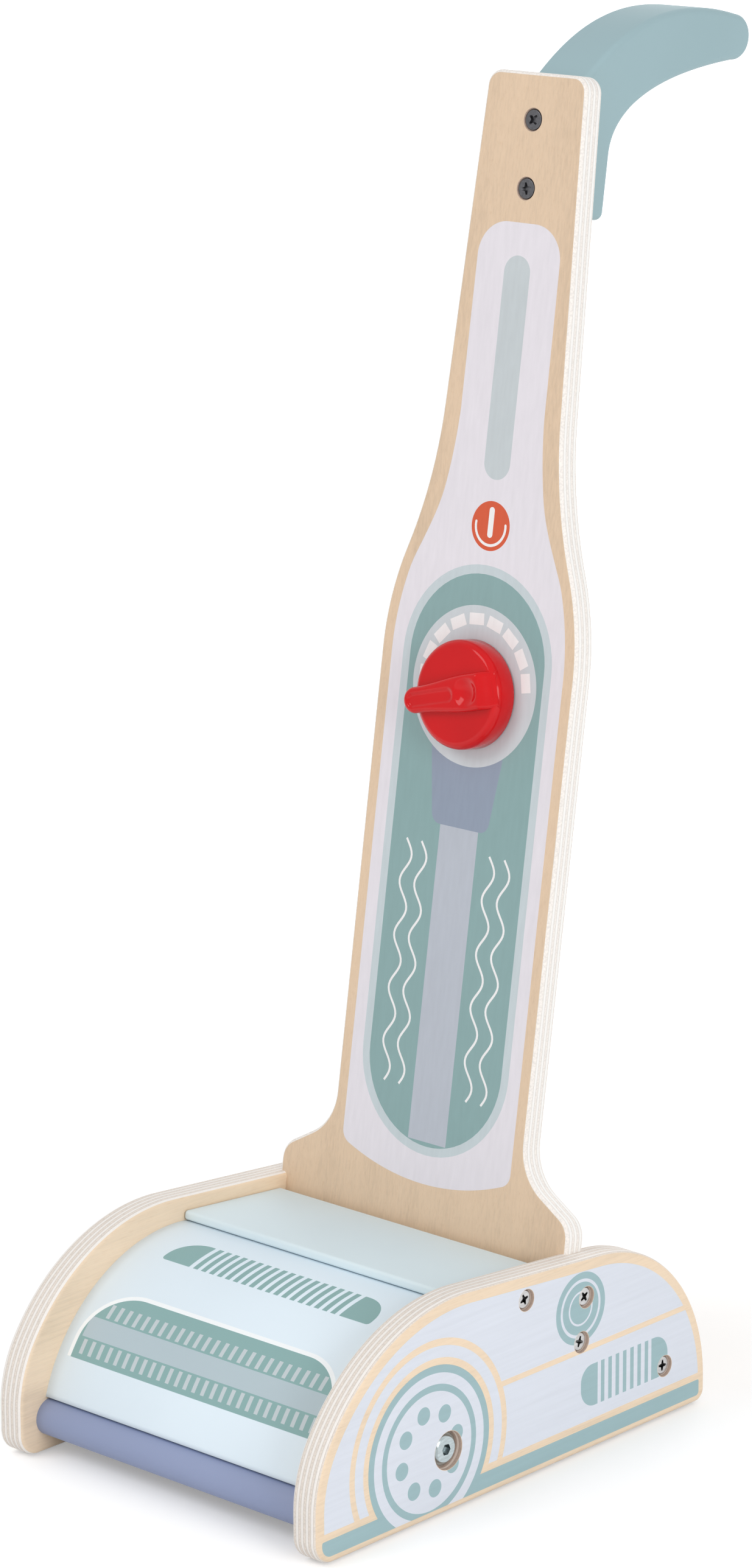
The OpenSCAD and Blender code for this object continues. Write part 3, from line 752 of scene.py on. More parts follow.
def shade(rgb, k):
    """Colour made darker or lighter by a factor."""
    return tuple(min(1.0, c * k) for c in rgb)


def made(name, build):
    """Material of this name, built when it is first asked for."""
    if name not in MADE:
        MADE[name] = build(name).material
    return MADE[name]


def ink(name, rgb, stretch=ALONG_Z, turn=(0, 0, 0), rough=0.42):
    """Print on wood, through which the grain shows faintly."""
    def build(name):
        look = Look(name, rough)
        grain = look.noise(420, stretch, turn, 5)
        cloud = look.noise(14, detail=2)
        mixed = look.math("ADD", look.math("MULTIPLY", grain, 0.65), look.math("MULTIPLY", cloud, 0.35))
        look.paint(look.ramp(mixed, (0.3, shade(rgb, 0.955)), (0.7, shade(rgb, 1.03))))
        return look.rough(grain, rough - 0.05, rough + 0.08).bump(grain, 0.12, 0.0002)
    return made(name, build)


def lacquer(name, rgb, rough=0.5):
    """Sprayed paint with a fine orange peel."""
    def build(name):
        look = Look(name, rough, shine=0.14)
        peel = look.noise(700, detail=2)
        cloud = look.noise(9, detail=3)
        look.paint(look.ramp(cloud, (0.3, shade(rgb, 0.97)), (0.7, shade(rgb, 1.02))))
        return look.rough(peel, rough - 0.04, rough + 0.06).bump(peel, 0.1, 0.0002)
    return made(name, build)


def birch(name, rgb, stretch, turn=(0, 0, 0)):
    """Birch veneer with long soft bands, fine fibres and short flecks."""
    def build(name):
        look = Look(name, 0.46)
        bands = look.noise(46, stretch, turn, 3)
        fibres = look.noise(900, stretch, turn, 6)
        flecks = look.noise(2400, tuple(0.07 if s < 1 else 1 for s in stretch), turn, 2)
        mixed = look.math("ADD", look.math("MULTIPLY", bands, 0.55), look.math("MULTIPLY", fibres, 0.45))
        wood = look.ramp(mixed, (0.26, shade(rgb, 0.84)), (0.5, rgb), (0.74, shade(rgb, 1.08)))
        spots = look.ramp(flecks, (0.55, (1, 1, 1)), (0.72, (0.95, 0.92, 0.89)))
        look.paint(look.mix(1.0, wood, spots, "MULTIPLY"))
        return look.rough(fibres, 0.4, 0.56).bump(fibres, 0.18, 0.0003)
    return made(name, build)


def plies(name, light, dark, normal, start, thick, number):
    """Layers of plywood across an edge, with thin glue lines and end grain."""
    def build(name):
        look = Look(name, 0.55)
        depth = look.node("VectorMath", {0: look.place, 1: normal}, operation="DOT_PRODUCT").outputs["Value"]
        waver = look.math("MULTIPLY", look.math("SUBTRACT", look.noise(30, detail=2), 0.5), 0.0005)
        inwards = look.math("SUBTRACT", look.math("ADD", depth, waver), start)
        layer = look.math("ADD", look.math("MULTIPLY", inwards, number / thick), 40.0)
        phase = look.math("FRACT", layer)
        other = look.math("GREATER_THAN", look.math("FRACT", look.math("MULTIPLY", layer, 0.5)), 0.5)
        grain = look.noise(1100, detail=6)
        pale = look.ramp(grain, (0.3, shade(light, 0.95)), (0.6, light))
        flecked = look.ramp(grain, (0.36, shade(dark, 0.9)), (0.6, shade(dark, 1.06)))
        on, off = (1, 1, 1), (0, 0, 0)
        glue = look.ramp(phase, (0.0, on), (0.07, on), (0.17, off), (0.93, off), (1.0, on))
        look.paint(look.mix(glue, look.mix(other, pale, flecked), (*shade(dark, 0.8), 1)))
        return look.rough(grain, 0.5, 0.68).bump(grain, 0.2, 0.0002)
    return made(name, build)


def gloss(name, rgb):
    """Moulded gloss plastic."""
    def build(name):
        look = Look(name, 0.1, shine=0.24)
        flow = look.noise(24, detail=2)
        look.paint(look.ramp(flow, (0.3, shade(rgb, 0.93)), (0.7, shade(rgb, 1.05))))
        return look.rough(look.noise(260, detail=2), 0.07, 0.13).bump(flow, 0.02, 0.001)
    return made(name, build)


def metal(name, rgb, rough, deep=0.06):
    """Plated steel with fine scratches; faces marked in the head's mesh get painted shade and painted
    reflection, turned into a painted highlight when deep is above one.
    """
    def build(name):
        look = Look(name, rough, 1.0)
        scratch = look.noise(900, (1, 0.2, 1), detail=5)
        # Mask of painted light from the heads' mesh: painted shade in crosses and sockets, painted reflection
        # on the bolts' rims
        sunk = look.node("Attribute", attribute_name="recess").outputs["Fac"]
        plated = look.ramp(scratch, (0.3, shade(rgb, 0.8)), (0.7, shade(rgb, 1.1)))
        look.paint(look.mix(sunk, plated, (*shade(rgb, deep), 1)))
        return look.rough(scratch, rough - 0.08, rough + 0.14).bump(scratch, 0.08, 0.0002)
    return made(name, build)


def rubber(name, rgb):
    """Matt rubber with a fine grain."""
    def build(name):
        look = Look(name, 0.75)
        grain = look.noise(1400, detail=3)
        look.paint(look.ramp(grain, (0.3, shade(rgb, 0.75)), (0.7, shade(rgb, 1.3))))
        return look.rough(grain, 0.66, 0.85).bump(grain, 0.3, 0.0003)
    return made(name, build)


ZINC_ROUGH = 0.3
LEANING = (LEAN, 0, 0)
BOARD_N = (0, -math.cos(LEAN), math.sin(LEAN))


def panel_wood(context):
    """Materials of the side panels: face, plies and bored holes."""
    f, s = context.scene.toy_finish, context.scene.toy_shape
    # The bore material is darker than the plies: partly bored end grain, partly painted shade in the holes
    layers = (1, 0, 0), SIDE, PANEL_T * MM, s.panel_plies
    return (birch("panel_veneer", f.panel_veneer, ALONG_Y),
            plies("panel_plies", f.ply_light, f.ply_dark, *layers),
            plies("panel_bore", f.bore_light, f.bore_dark, *layers))


def board_wood(context):
    """Materials of the upright: face, plies and bored holes."""
    f, s = context.scene.toy_finish, context.scene.toy_shape
    # The bore material is darker than the plies: partly bored end grain, partly painted shade in the holes
    layers = BOARD_N, on_board(0, 0, 0).dot(Vector(BOARD_N)), UP_T * MM, s.board_plies
    return (birch("board_veneer", f.veneer, ALONG_Z, LEANING),
            plies("board_plies", f.board_ply_light, f.board_ply_dark, *layers),
            plies("board_bore", f.bore_light, f.bore_dark, *layers))


# Pieces


def upright_screw(v):
    """Place of a screw in the upright's edge, on a side panel."""
    deep = UP_T / 2
    return (UP_Y + deep * math.cos(LEAN) + v * math.sin(LEAN), v * math.cos(LEAN) - deep * math.sin(LEAN))


RAIL_SCREW = (DEPTH - 31.2, 26.0)
SIDE_SCREWS = [(PIVOT_Y, PIVOT_Z), upright_screw(57.4), upright_screw(79.2), RAIL_SCREW]
GRIP_SCREWS = [UP_L - 54, UP_L - 22]
SIDE_CUPS = [(y, z, *SCREW_CUP) for y, z in SIDE_SCREWS] + [(*AXLE, *BOLT_CUP)]


class TOY_OT_side_panels(bpy.types.Operator):
    """Two domed plywood panels with rounded edges and sunk screw holes"""

    bl_idname = "toy.side_panels"
    bl_label = "Side panels"

    def execute(self, context):
        edge = context.scene.toy_shape.panel_edge / MM
        for name, place, flip in (("right_panel", on_right, False), ("left_panel", on_left, True)):
            bm = slab(side_loop(), PANEL_T, edge, cups=SIDE_CUPS)
            piece(name + "_wood", bm, place, panel_wood(context), "body", "plywood", [name], flip)
        return {"FINISHED"}


class TOY_OT_side_prints(bpy.types.Operator):
    """Printed sill, wheel rings, lines, filler cap and vent on both side panels"""

    bl_idname = "toy.side_prints"
    bl_label = "Side prints"

    def execute(self, context):
        f, s = context.scene.toy_finish, context.scene.toy_shape
        pale = ink("side_pale_print", f.side_pale, ALONG_Y)
        teal = ink("side_teal_print", f.side_teal, ALONG_Y)
        row, ring = row_tree(), ring_tree(True)
        foot, sill, line = 3.7, 11.7, 15.2
        wheel, filler, vent = (75.7, 33.2), (181.7, 72.9), (214.3, 32.2)
        wheel_rings = ((None, 53.5, line), (pale, 50.0, line), (None, 44.4, sill), (teal, 41.0, foot),
                       (pale, 37.3, foot), (teal, 32.0, foot), (pale, 28.7, foot))
        filler_rings = ((teal, 17.7), (pale, 14.4), (teal, 12.9), (pale, 8.6), (teal, 7.6))
        for name, place, flip in (("right_print", on_right, False), ("left_print", on_left, True)):
            p = Print()
            body = [v for v in inset(side_loop(), s.side_border / MM) if v.y > line]
            p.fill(pale, body + [Vector((end(v.x for v in body), line)) for end in (min, max)])
            p.fill(teal, soft_box(4.2, foot, DEPTH - 5, sill, 6, 2, 1, 1))
            p.fill(None, soft_box(124, 50.2, DEPTH, 53.0))
            for finish, r, floor in wheel_rings:
                p.fill(finish, low_disc(*wheel, r, floor))
            p.repeat(ring, teal, *wheel, Count=8, Radius=19.0, Start=0.2, Sweep=math.tau * 7 / 8, Width=8.6,
                     Height=8.6)
            for finish, r in filler_rings:
                p.fill(finish, circle(*filler, r))
            p.fill(teal, soft_box(182.2, 21.7, 194.4, 42.7, bl=10, tl=8))
            p.fill(teal, soft_box(234.2, 21.7, 246.4, 42.7, br=8, tr=10))
            p.repeat(row, teal, *vent, Count=7, Pitch=5.4, Width=2.6, Height=21.0)
            for y, z, r, _ in SIDE_CUPS:
                p.fill(None, circle(y, z, r + 0.5, 48))
            p.lay(name, place, "body", flip)
        return {"FINISHED"}


class TOY_OT_front_cover(bpy.types.Operator):
    """Bent front sheet with its printed vent and window"""

    bl_idname = "toy.front_cover"
    bl_label = "Front cover"

    def execute(self, context):
        f, s = context.scene.toy_finish, context.scene.toy_shape
        top = math.degrees(math.acos(COVER_PAST / COVER_R))
        low = 180 - math.degrees(math.asin((COVER_LOW - COVER_Z) / COVER_R))
        loop = arc(COVER_Y, COVER_Z, COVER_R, top, low, 1.5)
        loop += arc(COVER_Y, COVER_Z, COVER_R - COVER_T, low, top, 1.5)
        width = span(COVER_SEAT)
        coat = lacquer("cover_lacquer", f.cover)
        bm = slab(tidy(loop), width, 0.4, 2)
        piece("front_cover_sheet", bm, centred(across, width), (coat, coat), "body", "cover_paint",
              ["front_cover"])
        self.paint(f, s)
        return {"FINISHED"}

    def paint(self, f, s):
        """Vent of upright bars, and a window with a tube between two combs."""
        teal, white = lacquer("cover_teal_print", f.cover_teal), lacquer("cover_white_print", f.cover_rim)
        tube, tuft = lacquer("cover_tube_print", f.cover_tube), lacquer("cover_tuft_print", f.border)
        row = row_tree()
        vent_out, vent_in, vent_low, vent_high = 66.5, 48.3, 112.5, 131.5
        side, sill, head, corner = 80.4, 49, 86.6, 28
        p = Print()
        p.fill(teal, soft_box(-vent_out, vent_low, -vent_in, vent_high, 2, 0.5, 0.5, 16))
        p.fill(teal, soft_box(vent_in, vent_low, vent_out, vent_high, 0.5, 2, 16, 0.5))
        p.repeat(row, teal, 0, 122, Count=s.vent_bars, Pitch=5.2, Width=2.9, Height=19.0)
        p.fill(teal, soft_box(-side, sill, side, head, 0.5, 0.5, corner, corner))
        p.fill(tube, soft_box(-77.6, 60, 77.6, 70.5))
        for mid, bars in ((75.2, 25), (55.3, 27)):
            p.repeat(row, tuft, 0, mid, Count=bars, Pitch=5.7, Width=2.3, Height=7.4)
        x, y = side - corner, head - corner
        rim = arc(-x, y, corner, 180, 90) + arc(x, y, corner, 90, 0)
        p.fill(white, stroke([Vector((-side, sill))] + rim + [Vector((side, sill))], 2.2))
        p.lay("front_cover_print", on_cover, "body", cut=1.5)


class TOY_OT_roller(bpy.types.Operator):
    """Painted roller in its blind seats"""

    bl_idname = "toy.roller"
    bl_label = "Front roller"

    def execute(self, context):
        width = span(ROLLER_SEAT)
        coat = lacquer("roller_lacquer", context.scene.toy_finish.roller)
        bm = slab(circle(*ROLLER, 96), width, 0.8, 3)
        piece("front_roller_dowel", bm, centred(across, width), (coat, coat), "roller", "roller_paint",
              ["front_roller"])
        return {"FINISHED"}


class TOY_OT_lid(bpy.types.Operator):
    """Painted lid with the lip that laps over the cover"""

    bl_idname = "toy.lid"
    bl_label = "Lid"

    def execute(self, context):
        edge = context.scene.toy_shape.lid_edge / MM
        front, low, high, cut = -PIVOT_BACK / math.cos(TOP_A), -LID_T / 2, LID_T / 2, 1.0
        back, step = front + LID_L, front + LIP_L
        loop = arc(front + edge, high - LIP_T + edge, edge, 180, 270, 15)
        loop += [Vector(p) for p in ((step, high - LIP_T), (step, low + cut), (step + cut, low))]
        loop += arc(back - edge, low + edge, edge, 270, 360, 15)
        loop += arc(back - edge, high - edge, edge, 0, 90, 15)
        loop += arc(front + edge, high - edge, edge, 90, 180, 15)
        width = span(-LID_CLEAR)
        coat = lacquer("lid_lacquer", context.scene.toy_finish.lid)
        bm = slab(tidy(loop), width, min(edge, 1.0), 4)
        piece("lid_plate", bm, centred(on_lid, width), (coat, coat), "lid", "lid_paint", ["lid"])
        return {"FINISHED"}


class TOY_OT_upright(bpy.types.Operator):
    """Leaning plywood board with rounded edges"""

    bl_idname = "toy.upright"
    bl_label = "Upright"

    def execute(self, context):
        edge = context.scene.toy_shape.board_edge / MM
        cups = [(0, v, *GRIP_CUP) for v in GRIP_SCREWS]
        bm = slab(board_loop(), UP_T, edge, cups=cups, veneer=0.15)
        piece("upright_board", bm, on_board, board_wood(context), "body", "plywood", ["upright"])
        return {"FINISHED"}


class TOY_OT_upright_print(bpy.types.Operator):
    """Printed panel, slot, switch, dial scale and long window on the upright"""

    bl_idname = "toy.upright_print"
    bl_label = "Upright print"

    def execute(self, context):
        f, s = context.scene.toy_finish, context.scene.toy_shape
        inks = ("lilac", "teal", "border", "disc", "slot", "rod", "nozzle", "orange", "white")
        lilac, teal, border, disc, slot, rod, nozzle, orange, white = (
            ink("upright_" + n, getattr(f, n), ALONG_Z, LEANING) for n in inks)
        switch, dial = (0, 429.3), (0, 352.9)
        p = Print()
        p.fill(lilac, mirrored(self.panel(s.board_border / MM, s.neck_border / MM)))
        p.fill(slot, pill(8, 451.2, 556.7, 7.99))
        p.fill(orange, circle(*switch, 11.8))
        p.fill(white, pill(1.6, 423.7, 438.3, 1.59))
        bow, thin = arc(*switch, 9.2, 172, 368, 6), 1.3
        p.fill(white, stroke(bow, thin))
        for end in (bow[0], bow[-1]):
            p.fill(white, circle(*end, thin / 2, 16))
        p.fill(border, pill(46.5, 125.2, 410.7, 46.4))
        p.fill(teal, pill(42, 129.4, 406.4, 41.9))
        p.fill(rod, soft_box(-12, 131.5, 12, 292))
        p.fill(nozzle, [Vector((-22.4, 321))] + arc(-12.6, 290.1, 5.5, 187, 270, 10)
               + arc(12.6, 290.1, 5.5, 270, 353, 10) + [Vector((22.4, 321))])
        swell, pitch, wave_low, step = 3, 26, 156, 1.5
        for x in (-31, -21.5, 21.5, 31):
            heights = [wave_low + i * step for i in range(80)]
            wave = [Vector((x + swell * math.sin(v * math.tau / pitch), v)) for v in heights]
            p.fill(white, stroke(wave, 1.2))
        p.fill(disc, circle(*dial, 38.5, 96))
        p.repeat(ring_tree(False), white, *dial, Count=s.scale_blocks, Radius=32.0, Start=math.radians(11),
                 Sweep=math.radians(167), Width=9.1, Height=5.6)
        p.lay("upright_front_print", on_board, "body")
        return {"FINISHED"}

    def panel(self, wide, narrow):
        """Right half of the printed panel, with a broader rim of bare wood from the shoulders up."""
        low, high, shoulder, neck = 150, 552, 405, 448
        bow, corner, crown, mid = 132.5, 7.0, 17.0, 243.7
        edge = board_loop()
        right = [p + (q - p) * (wide + (narrow - wide) * ease(p.y, shoulder, neck))
                 for p, q in zip(edge, inset(edge, 1.0)) if p.x > 0 and low < p.y < high]
        foot_x, round_r = right[0].x - corner, bow - corner
        swing = math.degrees(math.asin(foot_x / round_r)) - 90
        foot = arc(foot_x, mid - math.sqrt(round_r ** 2 - foot_x ** 2), corner, swing, 0, 6)
        top = arc(right[-1].x - crown - 0.5, high + 3, crown, 3, 90, 6)
        return arc(0, mid, bow, -90, swing, 2) + foot + right + top


class TOY_OT_grip(bpy.types.Operator):
    """Painted wooden hook on the upright's back"""

    bl_idname = "toy.grip"
    bl_label = "Grip"

    def execute(self, context):
        coat = lacquer("grip_lacquer", context.scene.toy_finish.grip)
        bm = slab(grip_loop(), GRIP_W, context.scene.toy_shape.grip_edge / MM)
        piece("grip_hook", bm, centred(behind_board, GRIP_W), (coat, coat), "body", "grip_paint", ["grip"])
        return {"FINISHED"}


class TOY_OT_dial(bpy.types.Operator):
    """Moulded knob with a rounded rim and a dished pointer"""

    bl_idname = "toy.dial"
    bl_label = "Dial"

    def execute(self, context):
        shape = context.scene.toy_shape
        bm = bmesh.new()
        knob_r = KNOB_D / 2
        turn = [math.pi / 2 * k / 10 for k in range(11)]
        sides = [(knob_r - KNOB_RIM + KNOB_RIM * math.sin(a), KNOB_H - KNOB_RIM * (1 - math.cos(a)))
                 for a in turn]
        sides += [(knob_r, GAP + 0.4), (knob_r - 0.3, GAP)]
        turned(bm, sides, 128)
        self.pointer(bm)
        bmesh.ops.scale(bm, verts=bm.verts, vec=(shape.knob_spread, shape.knob_spread, shape.knob_rise))
        finish = gloss("knob_plastic", context.scene.toy_finish.knob)
        piece("dial_knob_moulding", bm, on_dial, [finish], "dial", "red_plastic", ["dial_knob"])
        return {"FINISHED"}

    def pointer(self, bm):
        """Adds the pointer as a closed bar, its top a grid along and across it."""
        root, tip, tip_r = -KNOB_D / 2 + 1, FIN_REACH - FIN_TIP / 2, FIN_TIP / 2
        steps, tip_steps, across_steps = 110, 24, 48
        along = [root + (tip - root) * i / steps for i in range(steps)]
        along += [tip + tip_r * math.sin(math.pi / 2 * i / tip_steps) for i in range(tip_steps + 1)]
        top, low = [], []
        for u in along:
            half = FIN_W / 2 + (tip_r - FIN_W / 2) * ease(u, -KNOB_D / 5, tip)
            if u > tip:
                half = math.sqrt(max(0.0, tip_r ** 2 - (u - tip) ** 2))
            row = [half * math.sin(math.pi * (j / across_steps - 0.5)) for j in range(across_steps + 1)]
            top.append([bm.verts.new((u, v, self.height(u, v, half, tip))) for v in row])
            low.append([bm.verts.new((u, v, KNOB_H - 2)) for v in row])
        for i in range(len(along) - 1):
            for j in range(across_steps):
                bm.faces.new((top[i][j], top[i + 1][j], top[i + 1][j + 1], top[i][j + 1])).smooth = True
                bm.faces.new((low[i][j + 1], low[i + 1][j + 1], low[i + 1][j], low[i][j]))
            for j, (a, b) in ((0, (i, i + 1)), (across_steps, (i + 1, i))):
                bm.faces.new((low[a][j], low[b][j], top[b][j], top[a][j])).smooth = True
        for j in range(across_steps):
            bm.faces.new((low[0][j + 1], low[0][j], top[0][j], top[0][j + 1]))
        bmesh.ops.remove_doubles(bm, verts=[v for row in top + low for v in row], dist=1e-4)

    def height(self, u, v, half, tip):
        """Height of the pointer's top, with soft edges, a sloping root, a long groove and a round dish."""
        soft, root, root_l = 2.2, -KNOB_D / 2 + 1, 8
        dish_u, dish_r, dish_h, groove_r, groove_h = -KNOB_D / 5, 6.8, 1.9, FIN_TIP / 4, 0.8
        inside = min(half - abs(v), FIN_TIP / 2 - math.hypot(u - tip, v) if u > tip else half)
        edge = soft - math.sqrt(max(0.0, soft ** 2 - max(0.0, soft - inside) ** 2))
        level = KNOB_H - 1 + (FIN_H - KNOB_H + 1) * ease(u, root, root + root_l)
        dish = 1 - (math.hypot(u - dish_u, v) / dish_r) ** 2
        groove = math.hypot(v, u - min(tip, max(1.0, u)))
        return (level - edge - dish_h * ease(dish, -0.2, 1.1)
                - groove_h * (1 - ease(groove, groove_r - 0.9, groove_r + 0.7)))


def head_mesh(name, bm):
    """Mesh of a head, from millimetres to metres."""
    mesh = bpy.data.meshes.new(name)
    bmesh.ops.scale(bm, verts=bm.verts, vec=(MM, MM, MM))
    bm.to_mesh(mesh)
    bm.free()
    return mesh


def screw_head(name, r, top, edge, arm):
    """Round screw head with a cross-shaped hollow, its seat at height 0, the hollow marked for painted light.
    """
    bm = bmesh.new()
    rim = circle(0, 0, r, 40)
    turn = [math.pi / 2 * k / 5 for k in range(6)]
    rings = [ring_of(bm, inset(rim, edge * (1 - math.sin(a))), top - edge * (1 - math.cos(a))) for a in turn]
    rings.append(ring_of(bm, rim, 0))
    for upper, lower in zip(rings, rings[1:]):
        skin(bm, upper, lower, 0)
    wide, inner, narrowing, depth = 0.165 * arm, 0.33 * arm, 0.72, 0.62 * arm
    quarter = [Vector((arm, -wide)), Vector((arm, wide)), Vector((inner, inner))]
    cross = [Matrix.Rotation(math.pi / 2 * k, 2) @ p for k in range(4) for p in quarter][::-1]
    mouth, foot = ring_of(bm, cross, top), ring_of(bm, [p * narrowing for p in cross], top - depth)
    skin(bm, mouth, foot, 0, smooth=False)
    cap(bm, [foot], 0)
    # Painted light: the cross's walls and floor are marked, alternate walls more strongly, so the material
    # paints them as shade on the zinc screws and as a highlight on the black screws
    sunk = bm.faces.layers.float.new("recess")
    for i, f in enumerate(bm.faces):
        f[sunk] = (0.95, 0.6)[i % 2] if all(v in mouth or v in foot for v in f.verts) else 0.0
    cap(bm, [rings[0], mouth], 0)
    cap(bm, [rings[-1]], 0, up=False)
    return head_mesh(name, bm)


def bolt_head(name, r, top, slope, fall, key):
    """Round bolt head with a sloped rim and a six-sided socket, its seat at height 0, marked for painted
    light.
    """
    bm = bmesh.new()
    sunk = bm.faces.layers.float.new("recess")
    flat_r, soft, narrowing, depth = r - slope, 0.3, 0.94, 2.4
    sides = [(flat_r - soft, top), (flat_r, top - 0.04), (flat_r + soft, top - soft), (r - 0.2, top - fall),
             (r, top - fall - soft), (r, 0)]
    rings = [ring_of(bm, circle(0, 0, d, 48), h) for d, h in sides]
    for upper, lower in zip(rings, rings[1:]):
        skin(bm, upper, lower, 0)
    # Painted reflection: dark and bright patches round the sloped rim, set by the angle about the head, and a
    # faint painted shade on the flat top
    for f in bm.faces:
        mid = f.calc_center_median()
        f[sunk] = 0.22 + 0.22 * math.sin(2 * math.atan2(mid.y, mid.x)) if mid.z < top - 0.1 else 0.12
    outer = set(bm.faces)
    hexagon = circle(0, 0, key, 6)[::-1]
    mouth, foot = ring_of(bm, hexagon, top), ring_of(bm, [p * narrowing for p in hexagon], top - depth)
    skin(bm, mouth, foot, 0, smooth=False)
    # Painted shade: the socket's walls alternately lit and shaded
    for i, f in enumerate(f for f in bm.faces if f not in outer):
        f[sunk] = (0.7, 0.12)[i % 2]
    cap(bm, [foot], 0)
    cap(bm, [rings[0], mouth], 0)
    cap(bm, [rings[-1]], 0, up=False)
    # Painted shade on the socket's floor; the flat top is hardly darkened
    for f in bm.faces:
        if abs(f.normal.z) > 0.9 or not f[sunk]:
            f[sunk] = 0.5 if f.calc_center_median().z < top - 1 else 0.1
    return head_mesh(name, bm)


class TOY_OT_screws(bpy.types.Operator):
    """Axle bolts and cross-head screws in the side panels and below the grip"""

    bl_idname = "toy.screws"
    bl_label = "Screws"

    def execute(self, context):
        f, tree = context.scene.toy_finish, screw_tree()
        sides = ((on_right, (1, 0, 0)), (on_left, (-1, 0, 0)))
        screw_seat, bolt_seat, grip_seat = -4.0, -5.3, -1.8
        spots = [(place(y, z, screw_seat), aim, 0.35 + 0.9 * i)
                 for place, aim in sides for i, (y, z) in enumerate(SIDE_SCREWS)]
        head = screw_head("pan_head", r=4.5, top=2.6, edge=0.6, arm=2.7)
        # The zinc screws' and bolts' marked faces are darkened: painted shade and painted reflection
        self.group(tree, "side_screw_heads", head, spots, metal("zinc_steel", f.zinc, ZINC_ROUGH),
                   "steel", ["lid_pivots", "upright_screws", "rail_screws"])
        spots = [(place(*AXLE, bolt_seat), aim, 0.4) for place, aim in sides]
        head = bolt_head("bolt_head", r=8.0, top=4.0, slope=2.0, fall=1.6, key=2.9)
        self.group(tree, "axle_bolt_heads", head, spots, metal("bolt_steel", f.bolt, 0.2),
                   "steel", ["axle_bolts"])
        spots = [(on_board(0, v, grip_seat), BOARD_N, 0.2 + 0.6 * i) for i, v in enumerate(GRIP_SCREWS)]
        head = screw_head("flat_head", r=4.8, top=1.6, edge=0.4, arm=2.9)
        # deep above one paints the marked cross lighter than the head: a painted highlight
        self.group(tree, "grip_screw_heads", head, spots, metal("black_steel", f.black, 0.34, deep=1.7),
                   "dark_steel", ["grip_screws"])
        return {"FINISHED"}

    def group(self, tree, name, head, spots, finish, slot, nodes):
        """Sets a head on every spot, given as its place, direction and turn."""
        head.materials.append(finish)
        shape = bpy.data.objects.new(name + "_shape", head)
        bpy.context.scene.collection.objects.link(shape)
        points = bpy.data.meshes.new(name)
        points.from_pydata([p for p, a, s in spots], [], [])
        points.attributes.new("aim", "FLOAT_VECTOR", "POINT")
        points.attributes.new("spin", "FLOAT", "POINT")
        for i, (p, a, s) in enumerate(spots):
            points.attributes["aim"].data[i].vector = a
            points.attributes["spin"].data[i].value = s
        obj = bpy.data.objects.new(name, tree.run(points, Head=shape, Material=finish))
        bpy.context.scene.collection.objects.link(obj)
        bpy.data.objects.remove(shape)
        settle(obj, "body", slot, nodes)


class TOY_OT_running_gear(bpy.types.Operator):
    """Axle, wheels, bin boards and the dial's fixings, shown as they are built"""

    bl_idname = "toy.running_gear"
    bl_label = "Axle, wheels and bin"

    def execute(self, context):
        f = context.scene.toy_finish
        steel = metal("zinc_steel", f.zinc, ZINC_ROUGH)
        turned_wood = birch("turned_beech", f.beech, ALONG_X)
        tread = rubber("tyre_rubber", f.rubber)
        board = birch("bin_birch", f.panel_veneer, ALONG_X)
        for finish, edge, nodes in ((steel, 0.3, ["axle_rod"]),
                                    (turned_wood, 0.4, ["axle_sleeve", "axle_rings"]),
                                    (turned_wood, 0.6, ["right_wheel", "left_wheel"]),
                                    (tread, 0.3, ["right_tyre", "left_tyre"]), (board, 0.5, ["bin_floor"]),
                                    (board, 0.8, ["rear_rail"]), (steel, 0.2, ["dial_washer"]),
                                    (steel, 0.15, ["dial_screw"])):
            for node in nodes:
                dress(node, finish, edge)
        return {"FINISHED"}


# Width of the camera's sensor in millimetres, and the point that the lamps aim at
SENSOR, LIT = 36, (0, 0, 0.25)


